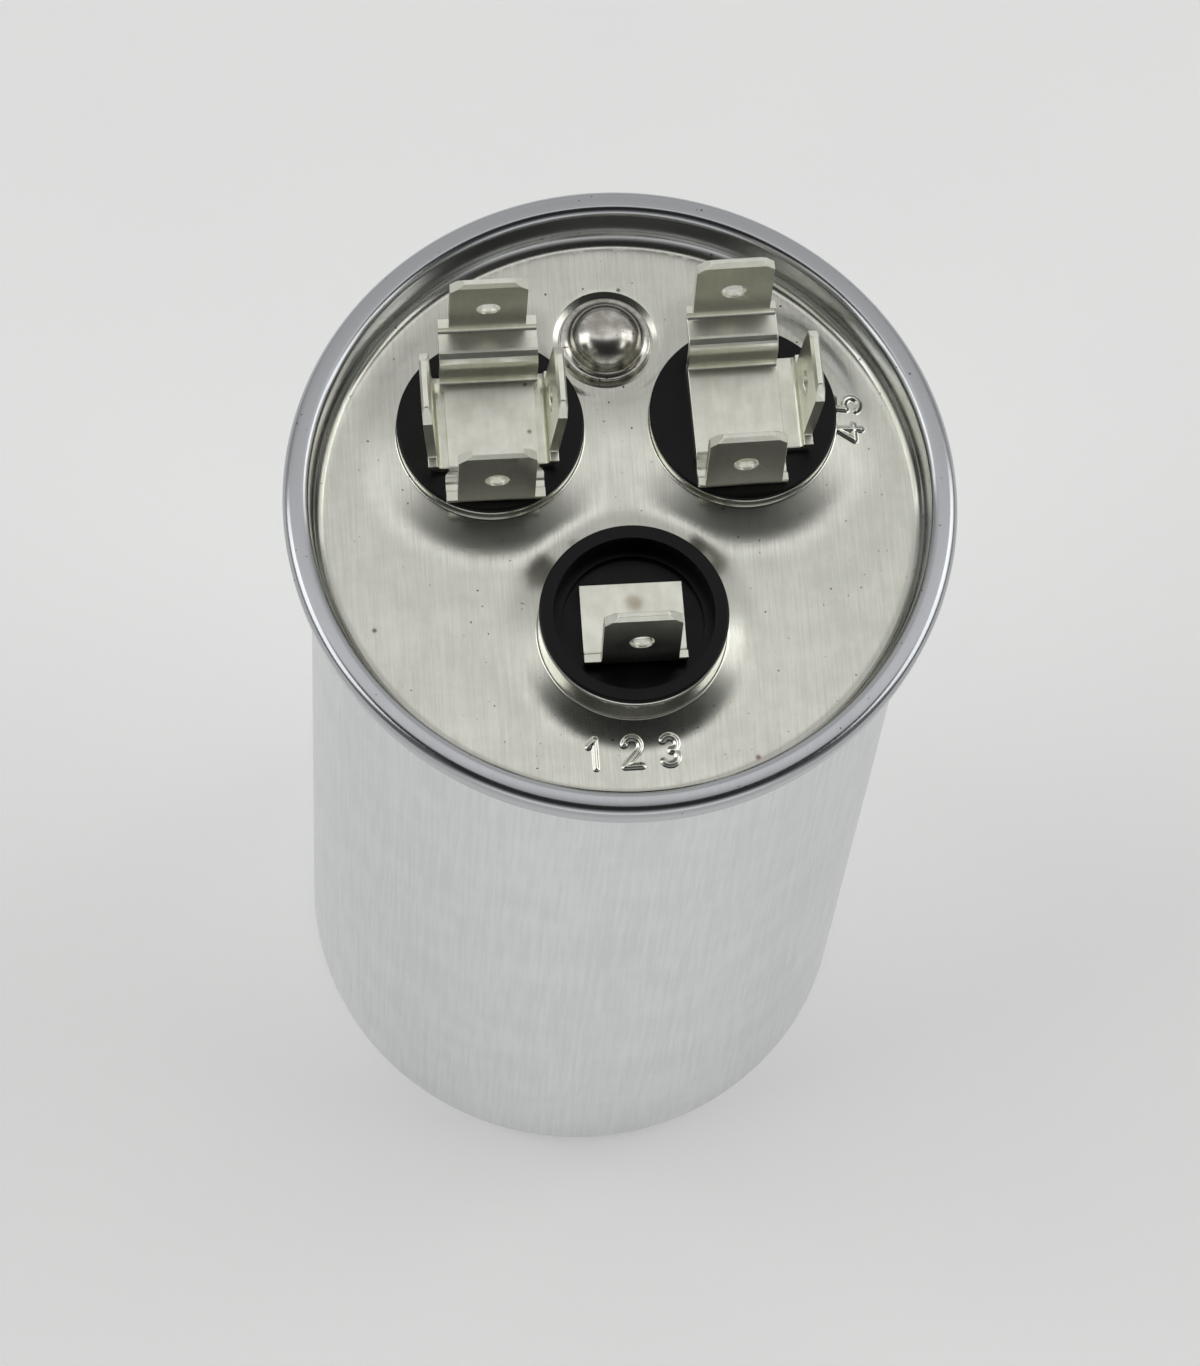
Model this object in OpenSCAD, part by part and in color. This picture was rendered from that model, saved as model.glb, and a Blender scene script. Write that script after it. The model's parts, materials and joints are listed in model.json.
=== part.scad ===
// Dual motor run capacitor in a round aluminium can.
// The tinplate cover is double seamed into the can and carries three riveted
// terminals: common, compressor and fan. All sizes are millimetres, +Z is up
// and the origin is the middle of the can's flat base.

/* [Can] */
// Outside diameter of the can
can_d = 50.8; // [46:0.2:56]
// Height from the base to the crest of the seam
can_h = 101.6; // [90:0.2:130]
// Wall of the can
can_wall = 0.45; // [0.35:0.05:0.6]
// Outside radius of the corner round the base
base_corner = 1.2; // [0.8:0.1:2]
// Slope of the neck under the seam, from vertical
neck_slope = 25; // [20:1:35]
// Radius of the bend into the neck
neck_bend = 2; // [1:0.1:4]

/* [Cover] */
// Thickness of the cover sheet
cover_t = 0.4; // [0.3:0.05:0.5]
// Depth of the cover's panel below the crest of the seam
cover_depth = 4; // [3.6:0.1:6]
// Radius in the corner between the panel and the chuck wall
panel_corner = 1.2; // [0.8:0.1:1.6]
// Lean of the chuck wall and the seam, from vertical
wall_lean = 5; // [2:0.5:8]

/* [Seam] */
// How far the seam stands out past the can wall
seam_overhang = 2.3; // [2.1:0.05:2.6]
// Height of the seam outside
seam_h = 2.8; // [2.6:0.1:3.2]
// Bend of the seam at the crest, measured in mid sheet
crest_bend = 0.5; // [0.4:0.05:0.6]
// Bend of the seam's outer shoulder, measured in mid sheet
shoulder_bend = 0.6; // [0.5:0.05:0.7]
// Clearance between the layers of the seam
seam_gap = 0.03; // [0.02:0.01:0.05]
// Room left for sealing compound over the can's flange
compound_gap = 0.12; // [0.1:0.01:0.2]
// Room left past the end of each hook
hook_end_gap = 0.1; // [0.05:0.01:0.2]

/* [Terminal layout] */
// Radius of the circle on which the three terminals stand
terminal_circle = 12.1; // [11.9:0.05:12.3]
// Sideways offset of that circle from the can's axis
terminal_x = 0.3; // [0:0.1:0.5]
// Rearward offset of that circle from the can's axis
terminal_y = 1.6; // [1.2:0.1:1.8]

/* [Collars and insulators] */
// Outside radius of the collars drawn up from the cover
collar_r = 7.75; // [7.6:0.05:7.85]
// Radius at the foot of each collar
collar_foot = 0.5; // [0.35:0.05:0.6]
// Thickness of the insulator's flange over the collar
flange_t = 0.35; // [0.25:0.05:0.6]
// Height of the two low insulators above the panel
low_h = 2.1; // [1.6:0.1:3]
// Height of the fan insulator's ring above the panel
fan_h = 4.4; // [4:0.1:5.5]
// Inside radius of the fan insulator's ring
fan_ring_r = 6.6; // [6.4:0.05:6.8]
// Height of the ledge inside the fan insulator
fan_ledge_h = 2.2; // [2:0.1:2.6]
// Radius of the seat sunk in that ledge
fan_seat_r = 5.85; // [5.8:0.05:6]
// Height of the fan terminal's seat above the panel
fan_seat_h = 1.6; // [1.2:0.1:1.9]
// Radial clearance of the insulators in their collars
insulator_gap = 0.05; // [0.02:0.01:0.1]
// Thickness of the rubber seals
seal_t = 0.8; // [0.6:0.1:1.2]
// Width of the flat panel that a seal bears on, round its collar
seal_land = 0.2; // [0.1:0.05:0.25]
// Thickness of the washers under the seals
washer_t = 1.2; // [0.8:0.1:2]

/* [Studs] */
// Radius of the stud's shank
stud_r = 1.5; // [1.2:0.1:2]
// Radius of the stud's countersunk head
stud_head_r = 2.6; // [2.3:0.1:3]
// Radius of the stud's clenched foot
stud_foot_r = 2.4; // [2.2:0.1:3]
// Thickness of that foot
stud_foot_t = 0.8; // [0.5:0.1:1.2]
// Clearance of the studs in their holes
stud_gap = 0.05; // [0.03:0.01:0.1]

/* [Terminal strips] */
// Thickness of the terminal strip
strip_t = 0.8; // [0.6:0.05:0.9]
// Bend of the strip, measured in mid sheet
strip_bend = 0.8; // [0.7:0.05:0.95]
// Width of the quick-connect tabs
tab_w = 6.35; // [5:0.05:6.8]
// Length of the tabs above their shoulders
tab_l = 7.9; // [7:0.1:8.5]
// Corner cut at the tab's tip
tab_chamfer = 1.1; // [0.6:0.1:1.4]
// Length of the thinned edge at the tab's tip
tab_bevel = 0.5; // [0.3:0.1:0.8]
// Thickness of the tab at its very tip
tab_tip_t = 0.4; // [0.3:0.05:0.6]
// Diameter of the detent hole in each tab
tab_hole_d = 2; // [1.6:0.1:2.4]
// Distance from the tab's tip to its hole
tab_hole_y = 4.5; // [3.8:0.1:5]
// Straight of the strip between its bend and the tab's shoulders
shoulder_l = 0.1; // [0.05:0.05:0.6]
// Width of the strip at the shoulders
shoulder_w = 8.1; // [7.6:0.1:8.4]
// Width of the upper strip between its bends
plate_w = 7.4; // [7:0.1:7.6]
// Straight part of an upper strip's foot, between its joggle and its front tab
foot_l = 0.4; // [0.2:0.05:1]
// Straight part of an upper strip's ledge, under its rear tab
ledge_l = 1.45; // [0.5:0.05:2]
// Distance over the outer faces of the lower strip's two tabs
lower_span = 10.8; // [10.4:0.1:11.2]
// Height of the step that lifts the rear tab
riser_h = 3.6; // [2.8:0.1:5]
// Distance from the terminal's centre to the front face of that step
riser_y = 3.3; // [3:0.1:3.8]
// Angle of the joggle over the lower strip
joggle = 45; // [40:1:60]
// Backward lean of the common terminal's front tab
common_lean = 3; // [0:0.5:6]
// Backward lean of the compressor terminal's front and rear tabs
compressor_lean = 4; // [0:0.5:6]
// Outward lean of the lower strips' tabs
side_lean = 4; // [0:0.5:6]
// Sideways place of the compressor terminal's upper strip on its insulator
compressor_shift = -0.7; // [-0.8:0.1:0]
// Rearward place of the compressor terminal's strips on their insulator
compressor_back = 0.3; // [0:0.1:0.5]
// Clearance between the joggle and the lower strip's edge
joggle_gap = 0.05; // [0.05:0.05:0.3]
// Turn of the compressor terminal's strips
compressor_turn = 1; // [0:0.5:3]
// Length of the fan terminal's foot behind the stud
fan_foot_rear = 3.4; // [3:0.1:3.5]
// Distance from the stud to the outer face of the fan terminal's tab
fan_foot_front = 3.6; // [3.2:0.1:3.7]
// Width of the fan terminal's foot
fan_foot_w = 8.5; // [8:0.1:8.6]
// Sideways place of the fan terminal's tab on its strip
fan_tab_shift = 0.3; // [0:0.1:0.5]
// Backward lean of the fan terminal's tab
fan_lean = 4; // [0:0.5:6]

/* [Fill plug] */
// Distance of the fill plug from the can's axis
plug_y = 15.7; // [15.6:0.1:16]
// Radius of the plug's rim
plug_rim_r = 3.8; // [3.5:0.05:3.9]
// Radius of the plug's dome
plug_dome_r = 3.05; // [2.6:0.05:3.3]
// Height of the dome above its rim
plug_dome_h = 2; // [1.4:0.1:2.6]
// Thickness of the plug's rim
plug_rim_t = 0.35; // [0.2:0.05:0.5]
// Radius of the plug's shank
plug_shank_r = 1.9; // [1.5:0.1:2.2]
// Radius of the plug's clenched end
plug_foot_r = 2.6; // [2.4:0.1:3]
// Depth of the dish in which the plug sits
dish_depth = 0.2; // [0.1:0.05:0.3]
// Slope of the dish
dish_slope = 20; // [16:1:30]
// Bend at the dish's edge, measured in mid sheet
dish_bend = 0.3; // [0.2:0.05:0.4]
// Radial clearance of the plug's rim in the dish
dish_gap = 0.05; // [0.05:0.01:0.15]
// Radial clearance of the plug's shank in the cover
plug_gap = 0.1; // [0.05:0.05:0.2]
// Thickness of the plug's clenched end
plug_foot_t = 0.6; // [0.4:0.1:1]

/* [Element] */
// Radial clearance of the parts that slide into the can
slide_gap = 0.3; // [0.2:0.05:0.5]
// Wall of the insulating cup under the element
cup_wall = 1; // [0.8:0.1:1.5]
// Thickness of the cup's floor
cup_floor = 1.2; // [0.8:0.1:2]
// Height of the cup
cup_h = 12; // [8:0.5:20]
// Height of the cup's ledge over its floor
cup_ledge_h = 1.8; // [1.7:0.1:3]
// Inside radius of that ledge
cup_ledge_r = 18.5; // [16:0.5:19]
// Bore radius of the core tube
core_bore = 4; // [3:0.1:5]
// Wall of the core tube
core_wall = 1; // [0.6:0.1:1.5]
// Room between the interrupter disc and the cover
head_room = 7.8; // [7:0.1:10]
// Thickness of the fan section's winding
fan_build = 4.25; // [3:0.05:6]
// Thickness of the wrap between the windings
section_wrap_t = 0.8; // [0.5:0.1:1]
// Thickness of the wrap round the outside
outer_wrap_t = 0.6; // [0.4:0.1:0.8]
// Clearance between one winding and the next piece
winding_gap = 0.1; // [0.05:0.05:0.2]
// Thickness of the sprayed metal on the windings' ends
spray_t = 0.6; // [0.4:0.1:1]
// How far the two wraps stand above the windings
wrap_stand = 1.8; // [1.4:0.1:2.4]
// Thickness of the interrupter disc
disc_t = 1.5; // [1:0.1:2]
// Wall of the interrupter disc's rim
disc_rim = 1.2; // [1:0.1:2]
// Clearance between that rim and the cover
disc_gap = 0.1; // [0.05:0.05:0.3]
// Width of the three notches in that rim
notch_w = 8; // [4:0.5:12]
// Depth of those notches
notch_h = 4; // [2:0.5:6]

/* [Leads] */
// Radius of the insulated leads
lead_r = 0.75; // [0.5:0.05:0.8]
// Bend of the leads, measured at their centre
lead_bend = 2; // [1.6:0.1:2]
// Clearance of the leads in the interrupter disc
lead_gap = 0.3; // [0.2:0.05:0.5]
// Straight drop of the common lead below its stud
common_drop = 0.4; // [0.2:0.1:0.6]
// How far the common lead runs out under the bottom end spray
common_run = 10; // [6:0.5:12]
// Clearance between the common lead and the spray it is soldered under
solder_gap = 0.05; // [0.05:0.01:0.1]

/* [Hidden] */

$fn = 96;
arc_steps = 8;      // straight pieces in each bend of a sheet
dome_steps = 14;    // straight pieces in the outline of the plug's dome
lead_sides = 10;    // sides of a lead
cut = 1;            // overshoot of a cutting shape past the surface it cuts
lap = 0.2;          // overlap between the cover's panel and what is drawn from it

// Levels and radii that several pieces share
panel_z = can_h - cover_depth;
panel_mid = panel_z - cover_t / 2;
panel_under = panel_z - cover_t;
can_r = can_d / 2;
can_mid = can_r - can_wall / 2;
can_bore = can_r - can_wall;
wall_angle = 90 - wall_lean;
corner_mid = panel_corner + cover_t / 2;

// Seam: chuck wall, can flange, cover hook, can hook and seaming wall lie side by side
flange_pitch = cover_t / 2 + seam_gap + can_wall / 2;
hook_pitch = can_wall + cover_t + 2 * seam_gap;
half_turn_rise = hook_pitch / 2 * (1 - cos(wall_angle));
crest_flat = (2 * hook_pitch - crest_bend * (1 - cos(wall_angle))
              - shoulder_bend * (1 + cos(wall_angle))) / sin(wall_angle);
chuck_l = (cover_depth - (corner_mid + crest_bend) * (1 - cos(wall_angle))) / sin(wall_angle);
seaming_l = (seam_h - cover_t - shoulder_bend * (1 + cos(wall_angle)) - half_turn_rise)
            / sin(wall_angle);
crest_r = can_r + seam_overhang - cover_t / 2 - shoulder_bend - crest_flat;
panel_flat = crest_r - (crest_bend + corner_mid) * sin(wall_angle) - chuck_l * cos(wall_angle);

// Neck and flange of the can, wrapped round the cover's corner
neck_mid = corner_mid + flange_pitch;
neck_l = (panel_flat + neck_mid * cos(neck_slope) - can_mid
          - neck_bend * (1 - cos(neck_slope))) / sin(neck_slope);
neck_z = panel_mid + corner_mid - neck_mid * sin(neck_slope)
         - neck_l * cos(neck_slope) - neck_bend * sin(neck_slope);
base_mid = base_corner - can_wall / 2;
flange_z = panel_mid + corner_mid - neck_mid * cos(wall_angle);
flange_top = can_h - cover_t - compound_gap - can_wall / 2 - half_turn_rise;
curl_z = can_h - cover_t / 2 - shoulder_bend * (1 + cos(wall_angle))
         - seaming_l * sin(wall_angle);
flange_l = (flange_top - flange_z) / sin(wall_angle);
can_hook_l = (flange_top - curl_z) / sin(wall_angle) - hook_pitch / tan(wall_angle)
             - hook_end_gap;
flange_bend_r = panel_flat + neck_mid * sin(wall_angle) + flange_l * cos(wall_angle)
                + hook_pitch / 2 * sin(wall_angle);
flange_bend_z = flange_top - hook_pitch / 2 * cos(wall_angle);

// Places of the three terminals and of the plug
function terminal_at(angle) =
    [terminal_x + terminal_circle * cos(angle), terminal_y + terminal_circle * sin(angle), 0];
common_at = terminal_at(150);
compressor_at = terminal_at(30);
fan_at = terminal_at(270);
plug_at = [0, plug_y, 0];

// Collars: the sheet turns up on a small radius and ends under the insulator's flange
collar_mid = collar_r - cover_t / 2;
foot_mid = collar_foot + cover_t / 2;
collar_flat_r = collar_mid + foot_mid;
insulator_r = collar_r - cover_t - insulator_gap;
flange_round = flange_t * 0.6;

// Dish for the plug
dish_r = plug_rim_r + dish_gap;
dish_run = (dish_depth - 2 * dish_bend * (1 - cos(dish_slope))) / sin(dish_slope);
dish_edge_r = dish_r + dish_run * cos(dish_slope) + 2 * dish_bend * sin(dish_slope);
plug_hole_r = plug_shank_r + plug_gap;

// Stack under the cover, from the panel's upper face down
seal_z = -cover_t - seal_t;
washer_z = seal_z - washer_t;
seal_r = collar_flat_r + seal_land;
stud_foot_z = washer_z - stud_foot_t;

// Strips
lower_w = shoulder_w;
upper_w = shoulder_w;
joggle_y = lower_w / 2 + joggle_gap;
joggle_run = (strip_t - 2 * strip_bend * (1 - cos(joggle))) / sin(joggle);
joggle_l = joggle_run * cos(joggle) + 2 * strip_bend * sin(joggle);
bend_out = strip_t / 2 + strip_bend;

// Element, from the can's floor up
cup_r = can_bore - slide_gap;
ledge_z = can_wall + cup_floor + cup_ledge_h;
wrap_r = cup_r - cup_wall - slide_gap;
fan_outer_r = wrap_r - outer_wrap_t - winding_gap;
core_r = core_bore + core_wall;
compressor_inner_r = core_r + winding_gap;
fan_inner_r = fan_outer_r - fan_build;
section_r = fan_inner_r - winding_gap - section_wrap_t;
compressor_outer_r = section_r - winding_gap;
winding_z = ledge_z + spray_t;
disc_top = panel_under - head_room;
disc_z = disc_top - disc_t;
winding_top = disc_z - wrap_stand;
spray_top = winding_top + spray_t;

// Leads, each in the upright plane through the can's axis and its terminal
function reach(at) = norm([at.x, at.y]);
lead_start = panel_z + stud_foot_z;
lead_level = lead_start - common_drop - lead_bend;
fan_spray_r = (fan_inner_r + fan_outer_r) / 2;
common_run_z = ledge_z - lead_r - solder_gap;

// A line of stations [x, y, heading, half thickness] that runs straight and then bends,
// once for each step [straight length, turn, bend radius]
function walk(steps, x, y, a, half, i = 0) =
    i == len(steps) ? [] :
    let (step = steps[i],
         side = sign(step[1]),
         px = x + step[0] * cos(a),
         py = y + step[0] * sin(a),
         cx = px - side * step[2] * sin(a),
         cy = py + side * step[2] * cos(a),
         b = a + step[1],
         arc = [for (k = [0:(side == 0 ? 0 : arc_steps)])
                let (h = a + step[1] * k / arc_steps)
                side == 0 ? [px, py, a, half]
                          : [cx + side * step[2] * sin(h), cy - side * step[2] * cos(h), h, half]],
         last = arc[len(arc) - 1])
    concat(arc, walk(steps, last.x, last.y, b, half, i + 1));

function line_from(x, y, a, steps, t) = concat([[x, y, a, t / 2]], walk(steps, x, y, a, t / 2));

// The same line, walked the other way
function reversed(line) =
    [for (i = [len(line) - 1:-1:0]) [line[i].x, line[i].y, line[i].z + 180, line[i][3]]];

// The line with a thinned tip added in its own direction
function with_tip(line) =
    let (s = line[len(line) - 1])
    concat(line, [[s.x + tab_bevel * cos(s.z), s.y + tab_bevel * sin(s.z), s.z, tab_tip_t / 2]]);

function beside(s, d) = [s.x - d * sin(s.z), s.y + d * cos(s.z)];

// Outline of a sheet whose middle follows the line
function sheet(line) =
    concat([for (s = line) beside(s, s[3])],
           [for (i = [len(line) - 1:-1:0]) beside(line[i], -line[i][3])]);

function arc_points(x, y, r, a0, a1, n) =
    [for (k = [0:n]) let (a = a0 + (a1 - a0) * k / n) [x + r * cos(a), y + r * sin(a)]];

module ring(inner, outer, z0, z1) {
    translate([0, 0, z0]) difference() {
        cylinder(r = outer, h = z1 - z0);
        translate([0, 0, -cut]) cylinder(r = inner, h = z1 - z0 + 2 * cut);
    }
}

// Aluminium can, drawn in one piece with its neck and the hook inside the seam
module can() {
    color("lightgray")
    rotate_extrude()
    polygon(sheet(line_from(0, can_wall / 2, 0,
        [[can_mid - base_mid, 90, base_mid],
         [neck_z - base_mid - can_wall / 2, -neck_slope, neck_bend],
         [neck_l, neck_slope - wall_lean, neck_mid],
         [flange_l, -180, hook_pitch / 2],
         [can_hook_l, 0, 0]], can_wall)));
}

// Collar drawn up from the panel round one terminal
module collar(height) {
    rotate_extrude()
    polygon(sheet(line_from(collar_flat_r + lap, panel_mid, 180,
        [[lap, -90, foot_mid],
         [panel_z + height - flange_t - panel_mid - foot_mid, 0, 0]], cover_t)));
}

// Shallow dish in which the fill plug sits
module dish() {
    rotate_extrude()
    polygon(sheet(line_from(dish_edge_r + lap, panel_mid, 180,
        [[lap, dish_slope, dish_bend],
         [dish_run, -dish_slope, dish_bend],
         [dish_r - plug_hole_r, 0, 0]], cover_t)));
}

module panel_hole(r) {
    translate([0, 0, panel_under - cut]) cylinder(r = r, h = cover_t + 2 * cut);
}

// Tinplate cover: panel, chuck wall, seaming panel and hook, with collars and dish
module cover() {
    color("gainsboro") {
        difference() {
            rotate_extrude()
            polygon(sheet(line_from(0, panel_mid, 0,
                [[panel_flat, wall_angle, corner_mid],
                 [chuck_l, -wall_angle, crest_bend],
                 [crest_flat, wall_angle - 180, shoulder_bend],
                 [seaming_l, -180, hook_pitch / 2],
                 [can_hook_l, 0, 0]], cover_t)));
            for (at = [common_at, compressor_at, fan_at])
                translate(at) panel_hole(collar_flat_r + lap / 2);
            translate(plug_at) panel_hole(dish_edge_r + lap / 2);
        }
        translate(common_at) collar(low_h);
        translate(compressor_at) collar(low_h);
        translate(fan_at) collar(fan_h);
        translate(plug_at) dish();
    }
}

// Sealing compound, cured in the hollow between the can's flange and the seaming panel
module seam_compound() {
    top = can_h - cover_t - seam_gap;
    hollow_r = hook_pitch / 2 + can_wall / 2 + seam_gap;
    half_angle = asin(crest_flat / 2 / hollow_r);
    color("dimgray")
    rotate_extrude()
    polygon(concat([[crest_r + crest_flat, top], [crest_r, top]],
                   arc_points(flange_bend_r, flange_bend_z, hollow_r,
                              90 + half_angle, 90 - half_angle, arc_steps)));
}

// Domed plug that closes the fill hole
module fill_plug() {
    cap_r = (pow(plug_dome_r, 2) + pow(plug_dome_h, 2)) / (2 * plug_dome_h);
    cap_z = plug_rim_t + plug_dome_h - cap_r;
    start = asin((plug_rim_t - cap_z) / cap_r);
    round_r = plug_rim_t / 2;
    color("silver")
    translate(plug_at + [0, 0, panel_z - dish_depth])
    rotate_extrude()
    polygon(concat(
        [[0, -cover_t - plug_foot_t],
         [plug_foot_r, -cover_t - plug_foot_t],
         [plug_foot_r, -cover_t],
         [plug_shank_r, -cover_t],
         [plug_shank_r, 0]],
        arc_points(plug_rim_r - round_r, round_r, round_r, -90, 90, arc_steps),
        arc_points(0, cap_z, cap_r, start, 90, dome_steps)));
}

// Upper edge of an insulator's flange, from its seat on the collar round to the top
function flange_edge(height) =
    concat([[insulator_r, height - flange_t], [collar_r, height - flange_t]],
           arc_points(collar_r - flange_round, height - flange_round, flange_round,
                      0, 90, arc_steps));

// Countersunk seat of a stud's head, at the given height
function head_seat(height) =
    [[stud_head_r + stud_gap, height],
     [stud_r + stud_gap, height - stud_head_r + stud_r],
     [stud_r + stud_gap, seal_z],
     [insulator_r, seal_z]];

module low_insulator() {
    color("black")
    translate([0, 0, panel_z])
    rotate_extrude()
    polygon(concat(flange_edge(low_h), head_seat(low_h)));
}

module seal() {
    color("darkslategray") ring(insulator_r + insulator_gap, seal_r,
                                panel_z + seal_z, panel_under);
}

module washer() {
    color("saddlebrown") ring(stud_r + stud_gap, seal_r, panel_z + washer_z, panel_z + seal_z);
}

// Rivet with a countersunk head under the strip and a clenched foot under the washer
module stud(height) {
    color("silver")
    translate([0, 0, panel_z])
    rotate_extrude()
    polygon([[0, height], [stud_head_r, height],
             [stud_r, height - stud_head_r + stud_r],
             [stud_r, washer_z], [stud_foot_r, washer_z],
             [stud_foot_r, stud_foot_z], [0, stud_foot_z]]);
}

// Everything beside a quick-connect tab and past its chamfers, with its detent hole.
// The tab's tip is at the origin and the tab runs back along -X, with its width along Z.
module tab_trim() {
    half = tab_w / 2;
    wide = fan_foot_w + shoulder_w;
    difference() {
        translate([-tab_l, -cut, -wide / 2]) cube([tab_l + cut, 2 * cut, wide]);
        rotate([90, 0, 0])
        linear_extrude(4 * cut, center = true)
        polygon([[-tab_l - cut, -half], [-tab_chamfer, -half], [0, -half + tab_chamfer],
                 [0, half - tab_chamfer], [-tab_chamfer, half], [-tab_l - cut, half]]);
    }
    translate([-tab_hole_y, 0, 0])
    rotate([90, 0, 0])
    cylinder(d = tab_hole_d, h = 4 * cut, center = true);
}

// A strip bent along the line, of even width, with a tab at each end that is named
module bent_strip(line, width, tab_first, tab_last, tab_shift = 0) {
    first = reversed(line)[len(line) - 1];
    last = line[len(line) - 1];
    ends = concat(tab_first ? [[first.x, first.y, first.z]] : [],
                  tab_last ? [[last.x, last.y, last.z]] : []);
    rotate([90, 0, 90])
    difference() {
        linear_extrude(width, center = true) polygon(sheet(line));
        for (end = ends)
            translate([end.x, end.y, tab_shift]) rotate([0, 0, end.z]) tab_trim();
    }
}

tab_step = [shoulder_l + tab_l - tab_bevel, 0, 0];

// Middle line of an upper strip: front tab, foot on the insulator, joggle over the lower
// strip, plate, riser, ledge and rear tab. Y is the walking direction, zero at the stud.
function upper_line(front_lean, rear_lean, shift) =
    let (z = low_h + 1.5 * strip_t,
         joggle_at = joggle_y + shift,
         front = line_from(0, z, 180,
             [[joggle_at, joggle, strip_bend],
              [joggle_run, -joggle, strip_bend],
              [foot_l, -90 - front_lean, strip_bend],
              tab_step], strip_t),
         rear = line_from(0, z, 0,
             [[riser_y + strip_t / 2 - strip_bend, 90, strip_bend],
              [riser_h - 2 * strip_bend, -90, strip_bend],
              [ledge_l, 90 - rear_lean, strip_bend],
              tab_step], strip_t))
    concat(reversed(with_tip(front)), [for (i = [1:len(rear)]) with_tip(rear)[i]]);

// Middle line of a lower strip, zero at the stud, with a tab at its right end and, where
// two_tabs is true, one at its left end
function lower_line(two_tabs, left_l) =
    let (z = low_h + strip_t / 2,
         flat = lower_span / 2 - bend_out,
         left = two_tabs
             ? with_tip(line_from(0, z, 180, [[flat, side_lean - 90, strip_bend], tab_step], strip_t))
             : line_from(0, z, 180, [[left_l, 0, 0]], strip_t),
         right = line_from(0, z, 0, [[flat, 90 - side_lean, strip_bend], tab_step], strip_t))
    concat(reversed(left), [for (i = [1:len(right)]) with_tip(right)[i]]);

// Notches that narrow the upper strip's plate between its joggle and its riser
module plate_relief() {
    front = -joggle_y - strip_bend;
    rear = riser_y - strip_bend / 2;
    side = (upper_w - plate_w) / 2;
    for (s = [-1, 1])
        translate([0, 0, low_h - cut])
        linear_extrude(3 * strip_t + 2 * cut)
        polygon([[s * plate_w / 2, front + side], [s * (upper_w / 2 + side), front - side],
                 [s * (upper_w / 2 + side), rear + side], [s * plate_w / 2, rear - side]]);
}

module common_insulator() { translate(common_at) low_insulator(); }
module common_seal() { translate(common_at) seal(); }
module common_washer() { translate(common_at) washer(); }
module common_stud() { translate(common_at) stud(low_h); }

module common_lower_strip() {
    color("silver")
    translate(common_at + [0, 0, panel_z])
    rotate([0, 0, -90])
    bent_strip(lower_line(true, 0), lower_w, true, true);
}

module common_upper_strip() {
    color("silver")
    translate(common_at + [0, 0, panel_z])
    difference() {
        bent_strip(upper_line(common_lean, 0, 0), upper_w, true, true);
        plate_relief();
    }
}

module compressor_insulator() { translate(compressor_at) low_insulator(); }
module compressor_seal() { translate(compressor_at) seal(); }
module compressor_washer() { translate(compressor_at) washer(); }
module compressor_stud() { translate(compressor_at) stud(low_h); }

module compressor_lower_strip() {
    color("silver")
    translate(compressor_at + [0, compressor_back, panel_z])
    rotate([0, 0, compressor_turn - 90])
    bent_strip(lower_line(false, plate_w / 2 - compressor_shift), lower_w, false, true);
}

module compressor_upper_strip() {
    color("silver")
    translate(compressor_at + [0, compressor_back, panel_z])
    rotate([0, 0, compressor_turn])
    translate([compressor_shift, 0, 0])
    bent_strip(upper_line(compressor_lean, compressor_lean, 0), plate_w, true, true);
}

// Cup-shaped insulator that shields the fan terminal
module fan_insulator() {
    color("black")
    translate(fan_at + [0, 0, panel_z])
    rotate_extrude()
    polygon(concat(flange_edge(fan_h),
                   [[fan_ring_r, fan_h], [fan_ring_r, fan_ledge_h],
                    [fan_seat_r, fan_ledge_h], [fan_seat_r, fan_seat_h]],
                   head_seat(fan_seat_h)));
}
module fan_seal() { translate(fan_at) seal(); }
module fan_washer() { translate(fan_at) washer(); }
module fan_stud() { translate(fan_at) stud(fan_seat_h); }

module fan_terminal() {
    line = with_tip(line_from(fan_foot_rear, fan_seat_h + strip_t / 2, 180,
        [[fan_foot_rear + fan_foot_front - bend_out, -90 - fan_lean, strip_bend],
         tab_step], strip_t));
    color("silver")
    translate(fan_at + [0, 0, panel_z])
    bent_strip(line, fan_foot_w, false, true, fan_tab_shift);
}

// A round lead swept along a line that lies in the upright plane through the can's axis
module lead(at, line) {
    n = lead_sides;
    rings = len(line);
    points = [for (s = line) for (k = [0:n - 1])
              let (c = lead_r * cos(360 * k / n), d = lead_r * sin(360 * k / n))
              [s.x - c * sin(s.z), d, s.y + c * cos(s.z)]];
    sides = [for (i = [0:rings - 2]) for (k = [0:n - 1])
             let (m = (k + 1) % n)
             [i * n + k, i * n + m, (i + 1) * n + m, (i + 1) * n + k]];
    ends = [[for (k = [n - 1:-1:0]) k], [for (k = [0:n - 1]) (rings - 1) * n + k]];
    rotate([0, 0, atan2(at.y, at.x)])
    polyhedron(points, concat(sides, ends));
}

module common_lead() {
    color("firebrick")
    lead(common_at, line_from(reach(common_at), lead_start, -90,
        [[common_drop, -90, lead_bend],
         [reach(common_at) - 2 * lead_bend, 90, lead_bend],
         [lead_level - common_run_z - 2 * lead_bend, 90, lead_bend],
         [common_run, 0, 0]], lead_r));
}

module compressor_lead() {
    color("goldenrod")
    lead(compressor_at, line_from(reach(compressor_at), lead_start, -90,
        [[lead_start - spray_top, 0, 0]], lead_r));
}

module fan_lead() {
    color("sienna")
    lead(fan_at, line_from(reach(fan_at), lead_start, -90,
        [[common_drop, 90, lead_bend],
         [fan_spray_r - reach(fan_at) - 2 * lead_bend, -90, lead_bend],
         [lead_level - lead_bend - spray_top, 0, 0]], lead_r));
}

module lead_hole(at, r) {
    rotate([0, 0, atan2(at.y, at.x)])
    translate([r, 0, disc_z - cut])
    cylinder(r = lead_r + lead_gap, h = disc_t + 2 * cut);
}

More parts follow.
